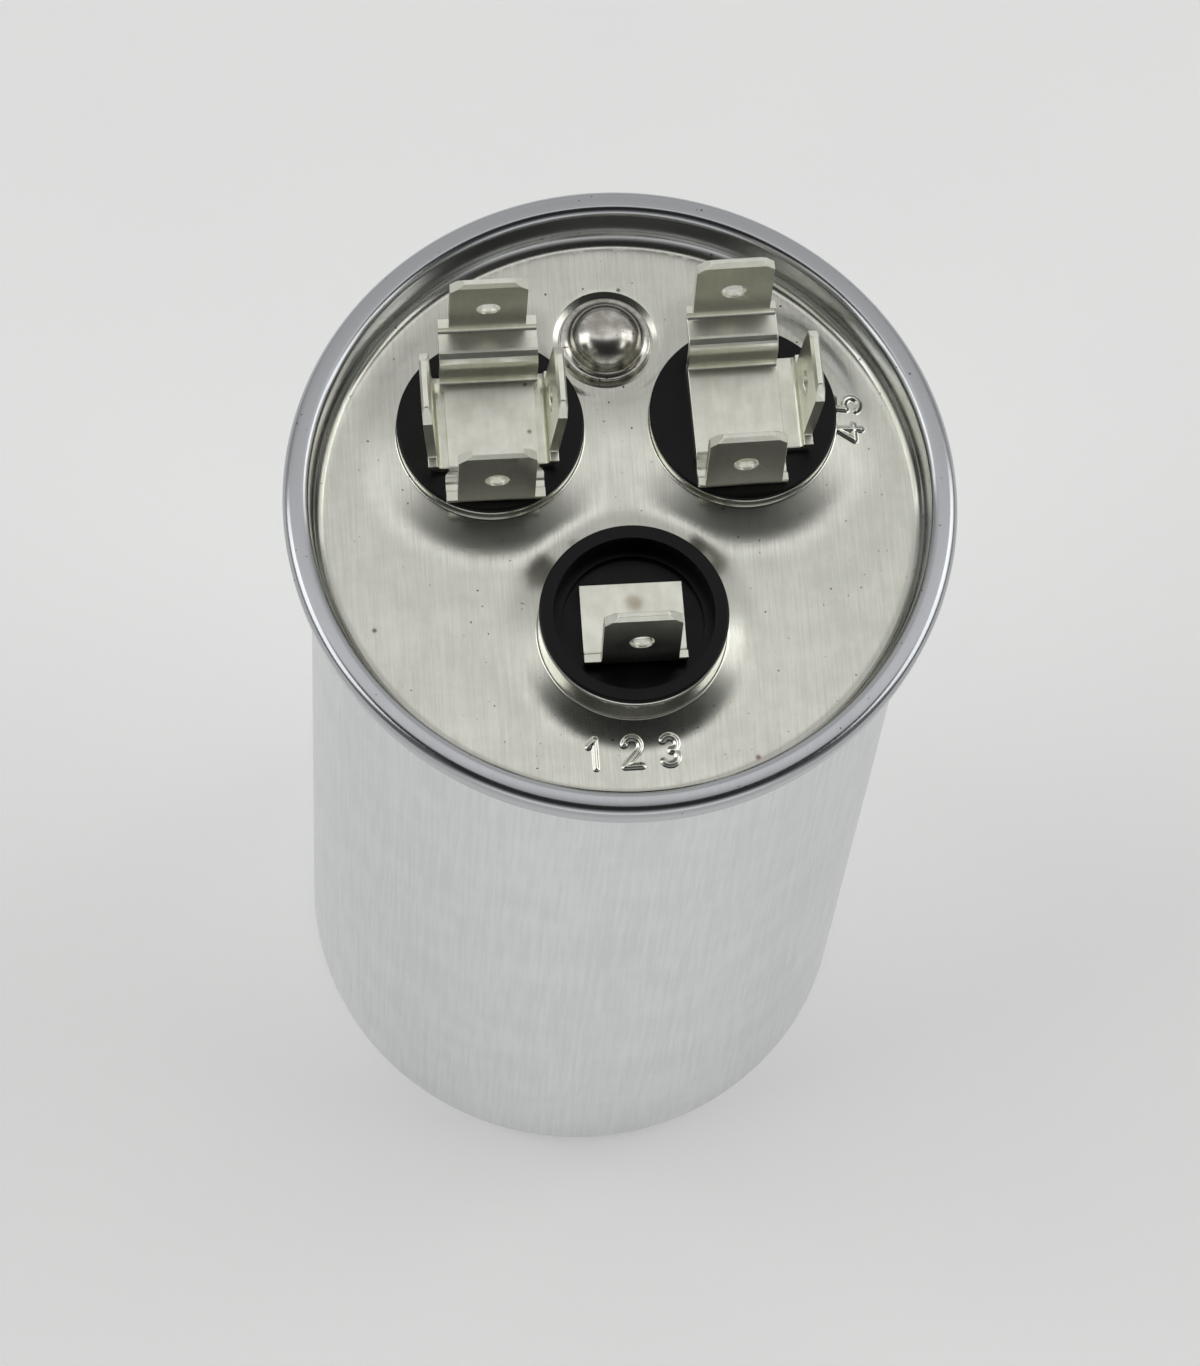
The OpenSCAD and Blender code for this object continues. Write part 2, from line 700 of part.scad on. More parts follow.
// Moulded disc over the element, with a rim that the cover holds down
module interrupter_disc() {
    rim_top = panel_under - disc_gap;
    color("ivory")
    difference() {
        union() {
            translate([0, 0, disc_z]) cylinder(r = cup_r, h = disc_t);
            ring(cup_r - disc_rim, cup_r, disc_z, rim_top);
        }
        lead_hole(common_at, 0);
        lead_hole(compressor_at, reach(compressor_at));
        lead_hole(fan_at, fan_spray_r);
        for (angle = [30:120:270])
            rotate([0, 0, angle])
            translate([0, -notch_w / 2, rim_top - notch_h])
            cube([can_r, notch_w, notch_h + cut]);
    }
}

module core_tube() {
    color("tan") ring(core_bore, core_r, winding_z, spray_top);
}

module compressor_winding() {
    color("lightyellow") ring(compressor_inner_r, compressor_outer_r, winding_z, winding_top);
}

module section_wrap() {
    color("khaki") ring(section_r, section_r + section_wrap_t, winding_z, disc_z);
}

module fan_winding() {
    color("lightyellow") ring(fan_inner_r, fan_outer_r, winding_z, winding_top);
}

module outer_wrap() {
    color("khaki") ring(wrap_r - outer_wrap_t, wrap_r, ledge_z, disc_z);
}

module compressor_end_spray() {
    color("slategray") ring(compressor_inner_r, compressor_outer_r, winding_top, spray_top);
}

module fan_end_spray() {
    color("slategray") ring(fan_inner_r, fan_outer_r, winding_top, spray_top);
}

module common_end_spray() {
    color("slategray") ring(core_bore, fan_outer_r, ledge_z, winding_z);
}

// Insulating cup with a ledge that carries the element clear of the common lead
module bottom_cup() {
    inner = cup_r - cup_wall;
    bevel = base_corner - can_wall;
    color("ivory")
    translate([0, 0, can_wall])
    rotate_extrude()
    polygon([[0, 0], [cup_r - bevel, 0], [cup_r, bevel], [cup_r, cup_h], [inner, cup_h],
             [inner, cup_floor + cup_ledge_h], [cup_ledge_r, cup_floor + cup_ledge_h],
             [cup_ledge_r, cup_floor], [0, cup_floor]]);
}

can();
cover();
seam_compound();
fill_plug();
common_insulator();
common_seal();
common_washer();
common_stud();
common_lower_strip();
common_upper_strip();
common_lead();
compressor_insulator();
compressor_seal();
compressor_washer();
compressor_stud();
compressor_lower_strip();
compressor_upper_strip();
compressor_lead();
fan_insulator();
fan_seal();
fan_washer();
fan_stud();
fan_terminal();
fan_lead();
interrupter_disc();
core_tube();
compressor_winding();
section_wrap();
fan_winding();
outer_wrap();
compressor_end_spray();
fan_end_spray();
common_end_spray();
bottom_cup();
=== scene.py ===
"""Motor run capacitor: its drawn and seamed sheet metal, its finishes, and the table it stands on.

The solids come from the frame. The can, the cover and the fill plug are drawn again here with
their softer forms, and every other piece keeps its solid and gets its finish; the strips and the
fan terminal also get soft edges.
"""
import json
import logging
import math
from collections.abc import Mapping, Sequence
from dataclasses import dataclass, field
from enum import Enum
from typing import Any

import bmesh
import bpy
import numpy as np
from mathutils import Matrix, Vector
from mathutils.geometry import delaunay_2d_cdt


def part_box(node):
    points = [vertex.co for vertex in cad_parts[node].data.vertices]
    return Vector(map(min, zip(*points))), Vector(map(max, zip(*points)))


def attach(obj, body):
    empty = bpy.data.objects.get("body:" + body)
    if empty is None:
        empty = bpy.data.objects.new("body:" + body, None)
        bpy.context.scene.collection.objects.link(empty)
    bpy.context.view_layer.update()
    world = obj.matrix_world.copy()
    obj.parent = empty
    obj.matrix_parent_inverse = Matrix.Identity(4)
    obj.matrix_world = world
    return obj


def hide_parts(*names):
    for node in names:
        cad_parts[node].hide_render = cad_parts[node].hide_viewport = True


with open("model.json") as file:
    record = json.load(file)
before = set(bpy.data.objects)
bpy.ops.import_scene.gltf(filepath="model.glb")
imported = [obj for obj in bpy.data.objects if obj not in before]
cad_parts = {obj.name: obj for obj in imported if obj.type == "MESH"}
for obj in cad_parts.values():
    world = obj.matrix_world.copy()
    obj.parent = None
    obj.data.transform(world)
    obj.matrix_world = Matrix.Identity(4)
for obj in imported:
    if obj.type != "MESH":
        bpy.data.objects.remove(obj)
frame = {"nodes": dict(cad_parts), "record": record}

LOG = logging.getLogger("capacitor")
MM = 0.001
MERGE = 1e-3 * MM
SLIVER = 1e-4 * MM
Array = np.ndarray
Rgba = tuple[float, float, float, float]
Tree = bpy.types.NodeTree
Socket = bpy.types.NodeSocket


# -------------------- small tools

def linear(code: str) -> Rgba:
    """Turns an sRGB hex colour into linear light.

    Args:
        code: six hex digits after a hash sign.
    Returns:
        Red, green, blue and an alpha of one, by the sRGB transfer curve.
    """
    channels = [int(code[i:i + 2], 16) / 255 for i in (1, 3, 5)]
    light = [c / 12.92 if c <= 0.04045 else ((c + 0.055) / 1.055) ** 2.4 for c in channels]
    return (*light, 1.0)


def smoothstep(value: Array, low: float, high: float) -> Array:
    """Rises from 0 at low to 1 at high along the cubic 3t^2 - 2t^3.

    Args:
        value: where the step is read.
        low: end of the zero side.
        high: start of the one side.
    Returns:
        The step's height at each value.
    """
    t = np.clip((value - low) / (high - low), 0.0, 1.0)
    return t * t * (3.0 - 2.0 * t)


def away_from(points: Array, centre: Sequence[float]) -> Array:
    """Distance in plan from each point to a centre.

    Args:
        points: rows that start with x and y.
        centre: x and y of the centre.
    Returns:
        One distance for each point.
    """
    return np.hypot(points[:, 0] - centre[0], points[:, 1] - centre[1])


def add_node(tree: Tree, kind: str, settings: Mapping[str, Any] | None = None,
             inputs: Mapping[str | int, Any] | None = None,
             stops: Sequence[tuple[float, float]] = ()) -> bpy.types.Node:
    """Adds one node with its settings and its links.

    Args:
        tree: the node tree to add to.
        kind: the node's type name.
        settings: attributes of the node.
        inputs: input name or number, with a value or the socket that feeds it.
        stops: place and grey level of each stop of a ramp.
    Returns:
        The new node.
    """
    node = tree.nodes.new(kind)
    for key, value in (settings or {}).items():
        setattr(node, key, value)
    for index, (place, level) in enumerate(stops):
        ramp = node.color_ramp.elements
        stop = ramp[index] if index < len(ramp) else ramp.new(place)
        stop.position = place
        stop.color = (level, level, level, 1.0)
    for key, value in (inputs or {}).items():
        if isinstance(value, Socket):
            tree.links.new(value, node.inputs[key])
        else:
            node.inputs[key].default_value = value
    return node


def new_material(name: str) -> tuple[bpy.types.Material, Tree, bpy.types.Node]:
    """Makes an empty material with its output node.

    Args:
        name: the finish's name.
    Returns:
        The material, its tree and its output node.
    """
    material = bpy.data.materials.new(name)
    material.use_nodes = True
    tree = material.node_tree
    tree.nodes.clear()
    return material, tree, add_node(tree, "ShaderNodeOutputMaterial")


def new_object(name: str, data: bpy.types.ID) -> bpy.types.Object:
    """Makes an object of a mesh, a lamp or a camera and puts it in the scene.

    Args:
        name: the object's name.
        data: what it shows.
    Returns:
        The object, at the origin.
    """
    made = bpy.data.objects.new(name, data)
    bpy.context.scene.collection.objects.link(made)
    return made


# -------------------- finishes

# A noise seldom leaves the wide range, and colour turns over within the narrow one
NOISE_RANGE = (0.3, 0.7)
SHADE_RANGE = (0.35, 0.65)
# Where a stain starts to fray and where it ends, in shares of its radius
STAIN_RANGE = (0.6, 1.4)
# Noise level at which a pit starts and is full, before the share of pits is taken off
PIT_RANGE = (0.82, 0.86)
PIT_STRENGTH = 0.85
PIT_COLOUR = "#2B2622"

@dataclass(frozen=True)
class Stain:
    """A spot of rust, soot or solder at one place on a metal piece, in millimetres."""

    centre: tuple[float, float, float]
    radius: float
    colour: str
    strength: float = 0.8


@dataclass(frozen=True)
class Metal:
    """A sheet metal finish with rolling or drawing marks, clouding, pits and stains.

    The marks are noise stretched along one axis: its cells are grain[i] millimetres long on
    axis i. Clouding is an even noise of cloud millimetres. Both vary colour and roughness, and
    the marks are also a shallow bump.
    """

    name: str
    colour: str
    clouded: str
    roughness: tuple[float, float]
    grain: tuple[float, float, float]
    cloud: float
    cloud_share: float = 0.6
    depth: float = 0.002
    pits: float = 0.0
    pit_size: float = 0.5
    rolled: str = ""
    rolled_from: float = 0.0
    rolled_fade: float = 0.9
    stains: tuple[Stain, ...] = ()

    def build(self) -> bpy.types.Material:
        """Returns the finish as a material on Object coordinates."""
        material, tree, output = new_material(self.name)
        place = add_node(tree, "ShaderNodeTexCoord").outputs["Object"]
        stretched = add_node(tree, "ShaderNodeMapping", inputs={
            "Vector": place, "Scale": [1 / (MM * cell) for cell in self.grain]}).outputs[0]
        marks = add_node(tree, "ShaderNodeTexNoise", inputs={
            "Vector": stretched, "Scale": 1.0, "Detail": 3.0, "Roughness": 0.65}).outputs["Fac"]
        clouds = add_node(tree, "ShaderNodeTexNoise", inputs={
            "Vector": place, "Scale": 1 / (MM * self.cloud), "Detail": 5.0,
            "Roughness": 0.6}).outputs["Fac"]
        both = add_node(tree, "ShaderNodeMix", {"data_type": "FLOAT"}, {
            "Factor": self.cloud_share, "A": marks, "B": clouds}).outputs["Result"]
        rough = add_node(tree, "ShaderNodeMapRange", inputs={
            "Value": both, "From Min": NOISE_RANGE[0], "From Max": NOISE_RANGE[1],
            "To Min": self.roughness[0], "To Max": self.roughness[1]}).outputs["Result"]
        shade = add_node(tree, "ShaderNodeMapRange", {"interpolation_type": "SMOOTHSTEP"}, {
            "Value": both, "From Min": SHADE_RANGE[0],
            "From Max": SHADE_RANGE[1]}).outputs["Result"]
        colour = add_node(tree, "ShaderNodeMix", {"data_type": "RGBA"}, {
            "Factor": shade, "A": linear(self.colour),
            "B": linear(self.clouded)}).outputs["Result"]
        layers = []
        if self.rolled:
            layers.append((self.ring_mask(tree, place), self.rolled))
        if self.pits > 0:
            layers.append((self.pit_mask(tree, place), PIT_COLOUR))
        layers += [(self.stain_mask(tree, place, clouds, stain), stain.colour)
                   for stain in self.stains]
        for mask, over in layers:
            colour = add_node(tree, "ShaderNodeMix", {"data_type": "RGBA"}, {
                "Factor": mask, "A": colour, "B": linear(over)}).outputs["Result"]
        bump = add_node(tree, "ShaderNodeBump", inputs={
            "Strength": 1.0, "Distance": self.depth * MM, "Height": marks}).outputs[0]
        shader = add_node(tree, "ShaderNodeBsdfPrincipled", inputs={
            "Base Color": colour, "Metallic": 1.0, "Roughness": rough, "Normal": bump})
        tree.links.new(shader.outputs[0], output.inputs[0])
        return material

    def ring_mask(self, tree: Tree, place: Socket) -> Socket:
        """Share of the cooler, duller ring where rollers have worked the sheet.

        Args:
            tree: the material's tree.
            place: object coordinates.
        Returns:
            0 inside the ring's radius, and 1 from its fade outwards.
        """
        flat = add_node(tree, "ShaderNodeVectorMath", {"operation": "MULTIPLY"}, {
            0: place, 1: (1.0, 1.0, 0.0)}).outputs[0]
        away = add_node(tree, "ShaderNodeVectorMath", {"operation": "LENGTH"}, {
            0: flat}).outputs["Value"]
        return add_node(tree, "ShaderNodeMapRange", {"interpolation_type": "SMOOTHSTEP"}, {
            "Value": away, "From Min": self.rolled_from * MM,
            "From Max": (self.rolled_from + self.rolled_fade) * MM}).outputs["Result"]

    def pit_mask(self, tree: Tree, place: Socket) -> Socket:
        """Share of dark pits: the small round tops of an even noise.

        Args:
            tree: the material's tree.
            place: object coordinates.
        Returns:
            0 off the pits and the pits' strength on them.
        """
        spots = add_node(tree, "ShaderNodeTexNoise", inputs={
            "Vector": place, "Scale": 1 / (MM * self.pit_size), "Detail": 0.0}).outputs["Fac"]
        return add_node(tree, "ShaderNodeMapRange", inputs={
            "Value": spots, "From Min": PIT_RANGE[0] - self.pits,
            "From Max": PIT_RANGE[1] - self.pits, "To Max": PIT_STRENGTH}).outputs["Result"]

    @staticmethod
    def stain_mask(tree: Tree, place: Socket, clouds: Socket, stain: Stain) -> Socket:
        """Share of one stain, full at its centre and frayed by the clouding towards its edge.

        Args:
            tree: the material's tree.
            place: object coordinates.
            clouds: the even noise that frays the edge.
            stain: the spot to lay.
        Returns:
            The stain's strength at its centre and 0 off it.
        """
        centre = tuple(MM * value for value in stain.centre)
        away = add_node(tree, "ShaderNodeVectorMath", {"operation": "DISTANCE"}, {
            0: place, 1: centre}).outputs["Value"]
        frayed = add_node(tree, "ShaderNodeMath", {"operation": "MULTIPLY_ADD"}, {
            0: clouds, 1: MM * stain.radius, 2: away}).outputs[0]
        return add_node(tree, "ShaderNodeMapRange", {"interpolation_type": "SMOOTHSTEP"}, {
            "Value": frayed, "From Min": STAIN_RANGE[0] * MM * stain.radius,
            "From Max": STAIN_RANGE[1] * MM * stain.radius, "To Min": stain.strength,
            "To Max": 0.0}).outputs["Result"]


@dataclass(frozen=True)
class Moulding:
    """A moulded, cast, wound or sprayed finish that isn't sheet metal.

    Colour wanders between two values with an even noise of cloud millimetres, and a finer noise
    of grit millimetres is its bump.
    """

    name: str
    colour: str
    second: str
    roughness: tuple[float, float]
    cloud: float
    grit: float
    depth: float
    metallic: float = 0.0
    ior: float = 1.5

    def build(self) -> bpy.types.Material:
        """Returns the finish as a material on Object coordinates."""
        material, tree, output = new_material(self.name)
        place = add_node(tree, "ShaderNodeTexCoord").outputs["Object"]
        clouds = add_node(tree, "ShaderNodeTexNoise", inputs={
            "Vector": place, "Scale": 1 / (MM * self.cloud), "Detail": 4.0}).outputs["Fac"]
        grit = add_node(tree, "ShaderNodeTexNoise", inputs={
            "Vector": place, "Scale": 1 / (MM * self.grit), "Detail": 2.0}).outputs["Fac"]
        shade = add_node(tree, "ShaderNodeMapRange", inputs={
            "Value": clouds, "From Min": NOISE_RANGE[0],
            "From Max": NOISE_RANGE[1]}).outputs["Result"]
        colour = add_node(tree, "ShaderNodeMix", {"data_type": "RGBA"}, {
            "Factor": shade, "A": linear(self.colour), "B": linear(self.second)}).outputs["Result"]
        rough = add_node(tree, "ShaderNodeMapRange", inputs={
            "Value": clouds, "From Min": NOISE_RANGE[0], "From Max": NOISE_RANGE[1],
            "To Min": self.roughness[0], "To Max": self.roughness[1]}).outputs["Result"]
        bump = add_node(tree, "ShaderNodeBump", inputs={
            "Strength": 1.0, "Distance": self.depth * MM, "Height": grit}).outputs[0]
        shader = add_node(tree, "ShaderNodeBsdfPrincipled", inputs={
            "Base Color": colour, "Metallic": self.metallic, "Roughness": rough,
            "IOR": self.ior, "Normal": bump})
        tree.links.new(shader.outputs[0], output.inputs[0])
        return material


# Roughness, clouding, grit and depth of every lead's sleeve
SLEEVE = ((0.4, 0.5), 3.0, 0.3, 0.004)


class Finish(Enum):
    """Each finish of the capacitor, named for the record's material slot that it serves."""

    # Deep-drawn aluminium: soft grey, with fine marks up the wall from the drawing ring
    CAN_ALUMINIUM = Metal("drawn_aluminium", "#E9E9EA", "#E0E1E2", (0.36, 0.45),
                            (0.35, 0.35, 12.0), 7.0, 0.4, 0.004)
    # Tinplate: warm grey and fairly bright, with fine rolling marks one way
    COVER_TINPLATE = Metal("rolled_tinplate", "#D6D6CD", "#C9C9BF", (0.15, 0.22),
                           (0.14, 5.0, 5.0), 3.0, 0.5, 0.002, pits=0.001, pit_size=0.35,
                           rolled="#B6B8BB", rolled_from=24.3, stains=(
                               Stain((9.8, -21.9, 97.6), 0.45, "#6E3A26"),
                               Stain((-20.7, -9.2, 97.6), 0.35, "#1C1815"),
                               Stain((1.4, 20.2, 97.6), 0.3, "#1C1815")))
    # Tinned brass strip: a little yellow, smooth on its faces, dull where it was handled
    TERMINAL_TIN = Metal("tinned_strip", "#F0F0E5", "#E5E5D8", (0.27, 0.37),
                         (0.5, 3.0, 3.0), 1.6, 0.6, 0.002, stains=(
                             Stain((-7.1, 6.2, 101.3), 0.35, "#7A4630"),
                             Stain((-7.2, 10.4, 101.3), 0.3, "#7A4630"),
                             Stain((0.6, -8.9, 100.0), 1.3, "#8C7750", 0.6)))
    # Pressed tin plug: bright on its dome, tarnished brown in patches
    PLUG_TIN = Metal("pressed_tin", "#D2D0C9", "#AAA69D", (0.16, 0.27),
                        (1.0, 1.0, 1.0), 1.2, 0.7, 0.002, pits=0.04, pit_size=0.3, stains=(
                            Stain((1.2, 17.2, 99.0), 0.7, "#5E4636"),))
    RIVET_STEEL = Metal("tinned_rivet", "#C8C8C4", "#AEADA8", (0.25, 0.4),
                        (0.5, 0.5, 0.5), 1.0)
    # Phenolic: black, with the low gloss of a hot mould and a trace of dust
    PHENOLIC = Moulding("moulded_phenolic", "#060607", "#0C0C0E", (0.28, 0.38), 2.5, 0.25, 0.004,
                        ior=1.3)
    RUBBER = Moulding("moulded_rubber", "#1B1B1C", "#232324", (0.6, 0.75), 2.0, 0.2, 0.006)
    LAMINATE = Moulding("paper_laminate", "#8A623F", "#70492C", (0.5, 0.6), 3.0, 0.3, 0.006)
    SEALING_COMPOUND = Moulding("cured_compound", "#4A4A49", "#5A5A58", (0.5, 0.7), 1.5, 0.2, 0.01)
    COMMON_INSULATION = Moulding("red_lead_sleeve", "#9A241F", "#85201B", *SLEEVE)
    COMPRESSOR_INSULATION = Moulding("yellow_lead_sleeve", "#D8B52A", "#C4A222", *SLEEVE)
    FAN_INSULATION = Moulding("brown_lead_sleeve", "#5B3A26", "#4B2F1F", *SLEEVE)
    MOULDED_NYLON = Moulding("natural_nylon", "#E4DFCE", "#D6D0BC", (0.4, 0.5), 5.0, 0.4, 0.004)
    CORE_PLASTIC = Moulding("extruded_core", "#CBBFA2", "#BCB091", (0.4, 0.55), 4.0, 0.4, 0.004)
    METALLIZED_FILM = Moulding("wound_film", "#CFCCBE", "#BDB9A9", (0.2, 0.35), 6.0, 0.5, 0.003)
    FILM_WRAP = Moulding("clear_film", "#D3C79D", "#C2B489", (0.15, 0.3), 6.0, 0.6, 0.003)
    ZINC_SPRAY = Moulding("sprayed_zinc", "#8C9096", "#6D7177", (0.55, 0.75), 1.0, 0.15, 0.05,
                          metallic=1.0)


@dataclass
class FinishShelf:
    """Builds each finish once and hands it out by material slot."""

    made: dict[Finish, bpy.types.Material] = field(default_factory=dict)

    def of_slot(self, slot: str) -> bpy.types.Material:
        """Returns the material of one of the record's slots."""
        finish = Finish[slot.upper()]
        if finish not in self.made:
            self.made[finish] = finish.value.build()
        return self.made[finish]


# -------------------- surfaces

@dataclass(frozen=True)
class Bend:
    """One step along a sheet: a straight length, then a turn in degrees on a mean radius."""

    straight: float
    turn: float = 0.0
    radius: float = 0.0


ARC_STEP = math.radians(8.0)


def sheet_line(x: float, y: float, heading: float, bends: Sequence[Bend]) -> Array:
    """Walks along the middle of a bent sheet.

    Each bend goes straight on and then round an arc whose centre lies square to the heading:
    point = centre + side * radius * (sin h, -cos h), for headings h through the turn.

    Args:
        x: start along the first axis.
        y: start along the second axis.
        heading: first heading in degrees.
        bends: the steps of the walk.
    Returns:
        One row for each station: x, y and heading in radians.
    """
    angle = math.radians(heading)
    rows = [np.array([[x, y, angle]])]
    for bend in bends:
        x += bend.straight * math.cos(angle)
        y += bend.straight * math.sin(angle)
        turn = math.radians(bend.turn)
        side = math.copysign(1.0, turn)
        centre = (x - side * bend.radius * math.sin(angle),
                  y + side * bend.radius * math.cos(angle))
        count = max(1, math.ceil(abs(turn) / ARC_STEP))
        headings = angle + turn * np.linspace(0.0, 1.0, count + 1)
        if turn == 0.0:
            headings = headings[:1]
        rows.append(np.column_stack([centre[0] + side * bend.radius * np.sin(headings),
                                     centre[1] - side * bend.radius * np.cos(headings), headings]))
        x, y, angle = rows[-1][-1]
    return np.vstack(rows)


def beside(line: Array, distance: float) -> Array:
    """Points square to a line, positive on its left: p + d * (-sin h, cos h).

    Args:
        line: stations of x, y and heading.
        distance: how far from the line.
    Returns:
        One x, y row for each station.
    """
    return line[:, :2] + distance * np.column_stack([-np.sin(line[:, 2]), np.cos(line[:, 2])])


def grid_faces(rows: int, columns: int) -> Array:
    """Quads between neighbouring rows of a grid whose columns close into a ring.

    Args:
        rows: how many rows of vertices.
        columns: how many vertices in a row.
    Returns:
        Four vertex numbers for each quad.
    """
    row, place = np.meshgrid(np.arange(rows - 1) * columns, np.arange(columns), indexing="ij")
    after = (place + 1) % columns
    upper = row + columns
    return np.stack([row + place, row + after, upper + after, upper + place], -1).reshape(-1, 4)


def revolve(profile: Array, count: int, centre: tuple[float, float] = (0.0, 0.0)) -> Array:
    """Turns a profile of radius and height about an upright axis: (r cos a, r sin a, z).

    Args:
        profile: radius and height of each ring, from first to last.
        count: vertices round each ring.
        centre: where the axis stands.
    Returns:
        Vertices, ring after ring.
    """
    angle = np.linspace(0.0, 2 * np.pi, count, endpoint=False)
    x = centre[0] + profile[:, :1] * np.cos(angle)
    y = centre[1] + profile[:, :1] * np.sin(angle)
    z = np.repeat(profile[:, 1:2], count, axis=1)
    return np.stack([x, y, z], -1).reshape(-1, 3)


@dataclass
class Skin:
    """A surface put together from patches in millimetres, whose shared edges are merged."""

    vertices: list[Array] = field(default_factory=list)
    faces: list[list[list[int]]] = field(default_factory=list)
    total: int = 0

    def add(self, vertices: Array, faces: Array) -> None:
        """Adds a patch whose faces count from its own first vertex."""
        self.vertices.append(vertices)
        self.faces.append((faces + self.total).tolist())
        self.total += len(vertices)

    def piece(self, name: str, upward: bool = False) -> bpy.types.Object:
        """Makes the finished mesh object at the origin.

        Args:
            name: the object's name.
            upward: true for an open sheet whose outer side looks up, false for a closed solid.
        Returns:
            The object, in the scene, smooth and with its faces outwards.
        """
        mesh = bpy.data.meshes.new(name)
        points = np.vstack(self.vertices) * MM
        mesh.from_pydata(points.tolist(), [], [face for patch in self.faces for face in patch])
        work = bmesh.new()
        work.from_mesh(mesh)
        bmesh.ops.remove_doubles(work, verts=work.verts, dist=MERGE)
        bmesh.ops.dissolve_degenerate(work, edges=work.edges, dist=SLIVER)
        bmesh.ops.recalc_face_normals(work, faces=work.faces)
        if upward and sum(face.normal.z * face.calc_area() for face in work.faces) < 0:
            bmesh.ops.reverse_faces(work, faces=work.faces)
        work.to_mesh(mesh)
        work.free()
        mesh.shade_smooth()
        return new_object(name, mesh)


def finish_piece(piece: bpy.types.Object, shelf: FinishShelf, slot: str, *nodes: str) -> None:
    """Dresses a new piece, seats it on the body and lets it stand for its nodes.

    Args:
        piece: the new object.
        shelf: where the finishes are.
        slot: the record's material slot.
        nodes: the solids that it stands for.
    """
    piece.data.materials.append(shelf.of_slot(slot))
    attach(piece, "root")
    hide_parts(*nodes)
    LOG.info("%s: %d vertices", piece.name, len(piece.data.vertices))


# -------------------- stamped marks

ARC_POINTS = 12


def arc(x: float, y: float, radius: float, start: float, end: float) -> Array:
    """Points of a circular stroke from one angle to another, in degrees."""
    angle = np.radians(np.linspace(start, end, ARC_POINTS))
    return np.column_stack([x + radius * np.cos(angle), y + radius * np.sin(angle)])


# Plain numbers drawn as single strokes in a cell that is one unit high
STROKES: dict[str, Array] = {
    "1": np.array([(0.12, 0.78), (0.34, 1.0), (0.34, 0.0)]),
    "2": np.vstack([arc(0.30, 0.72, 0.28, 165, -40), [(0.02, 0.0), (0.62, 0.0)]]),
    "3": np.vstack([arc(0.28, 0.74, 0.26, 150, -80), arc(0.28, 0.27, 0.27, 80, -150)]),
    "4": np.array([(0.46, 0.0), (0.46, 1.0), (0.0, 0.3), (0.64, 0.3)]),
    "5": np.vstack([[(0.58, 1.0), (0.12, 1.0), (0.08, 0.55)], arc(0.29, 0.31, 0.31, 125, -150)]),
}
CELL_MIDDLE = 0.31


@dataclass
class StampedMark:
    """A row of plain numbers stamped into the cover beside a terminal."""

    text: str
    centre: tuple[float, float]
    turn: float = 0.0
    height: float = 2.4
    pitch: float = 3.1
    half_width: float = 0.3
    relief: float = 0.16
    crown: float = 0.15

    def segments(self) -> tuple[Array, Array]:
        """Returns the start and end points of every straight bit of the strokes."""
        starts, ends = [], []
        first = -0.5 * self.pitch * (len(self.text) - 1)
        turn = math.radians(self.turn)
        matrix = np.array([[math.cos(turn), math.sin(turn)], [-math.sin(turn), math.cos(turn)]])
        for place, letter in enumerate(self.text):
            points = (STROKES[letter] - [CELL_MIDDLE, 0.5]) * self.height
            points = (points + [first + place * self.pitch, 0.0]) @ matrix + self.centre
            starts.append(points[:-1])
            ends.append(points[1:])
        return np.vstack(starts), np.vstack(ends)

    def box(self) -> tuple[Array, Array]:
        """Returns the lowest and highest corner of the stamped area."""
        starts, ends = self.segments()
        points = np.vstack([starts, ends])
        margin = 2 * self.half_width
        return points.min(0) - margin, points.max(0) + margin

    def lift(self, points: Array) -> Array:
        """How far the stamp raises the sheet.

        The distance from each point to the nearest stroke is taken. The bead is full within the
        crown, a share of the half width, and falls to nothing at the half width.

        Args:
            points: x, y rows.
        Returns:
            The height at each point.
        """
        starts, ends = self.segments()
        along = ends - starts
        nearest = np.full(len(points), np.inf)
        for start, step in zip(starts, along):
            t = np.clip(((points - start) @ step) / (step @ step), 0.0, 1.0)
            away = points - start - t[:, None] * step
            nearest = np.minimum(nearest, np.hypot(away[:, 0], away[:, 1]))
        crown = self.crown * self.half_width
        return self.relief * (1.0 - smoothstep(nearest, crown, self.half_width))


# -------------------- sheet metal

# Height of a triangle with even sides over its side, and how close points count as one
ROW_SHARE = 0.866
SNAP = 1e-7

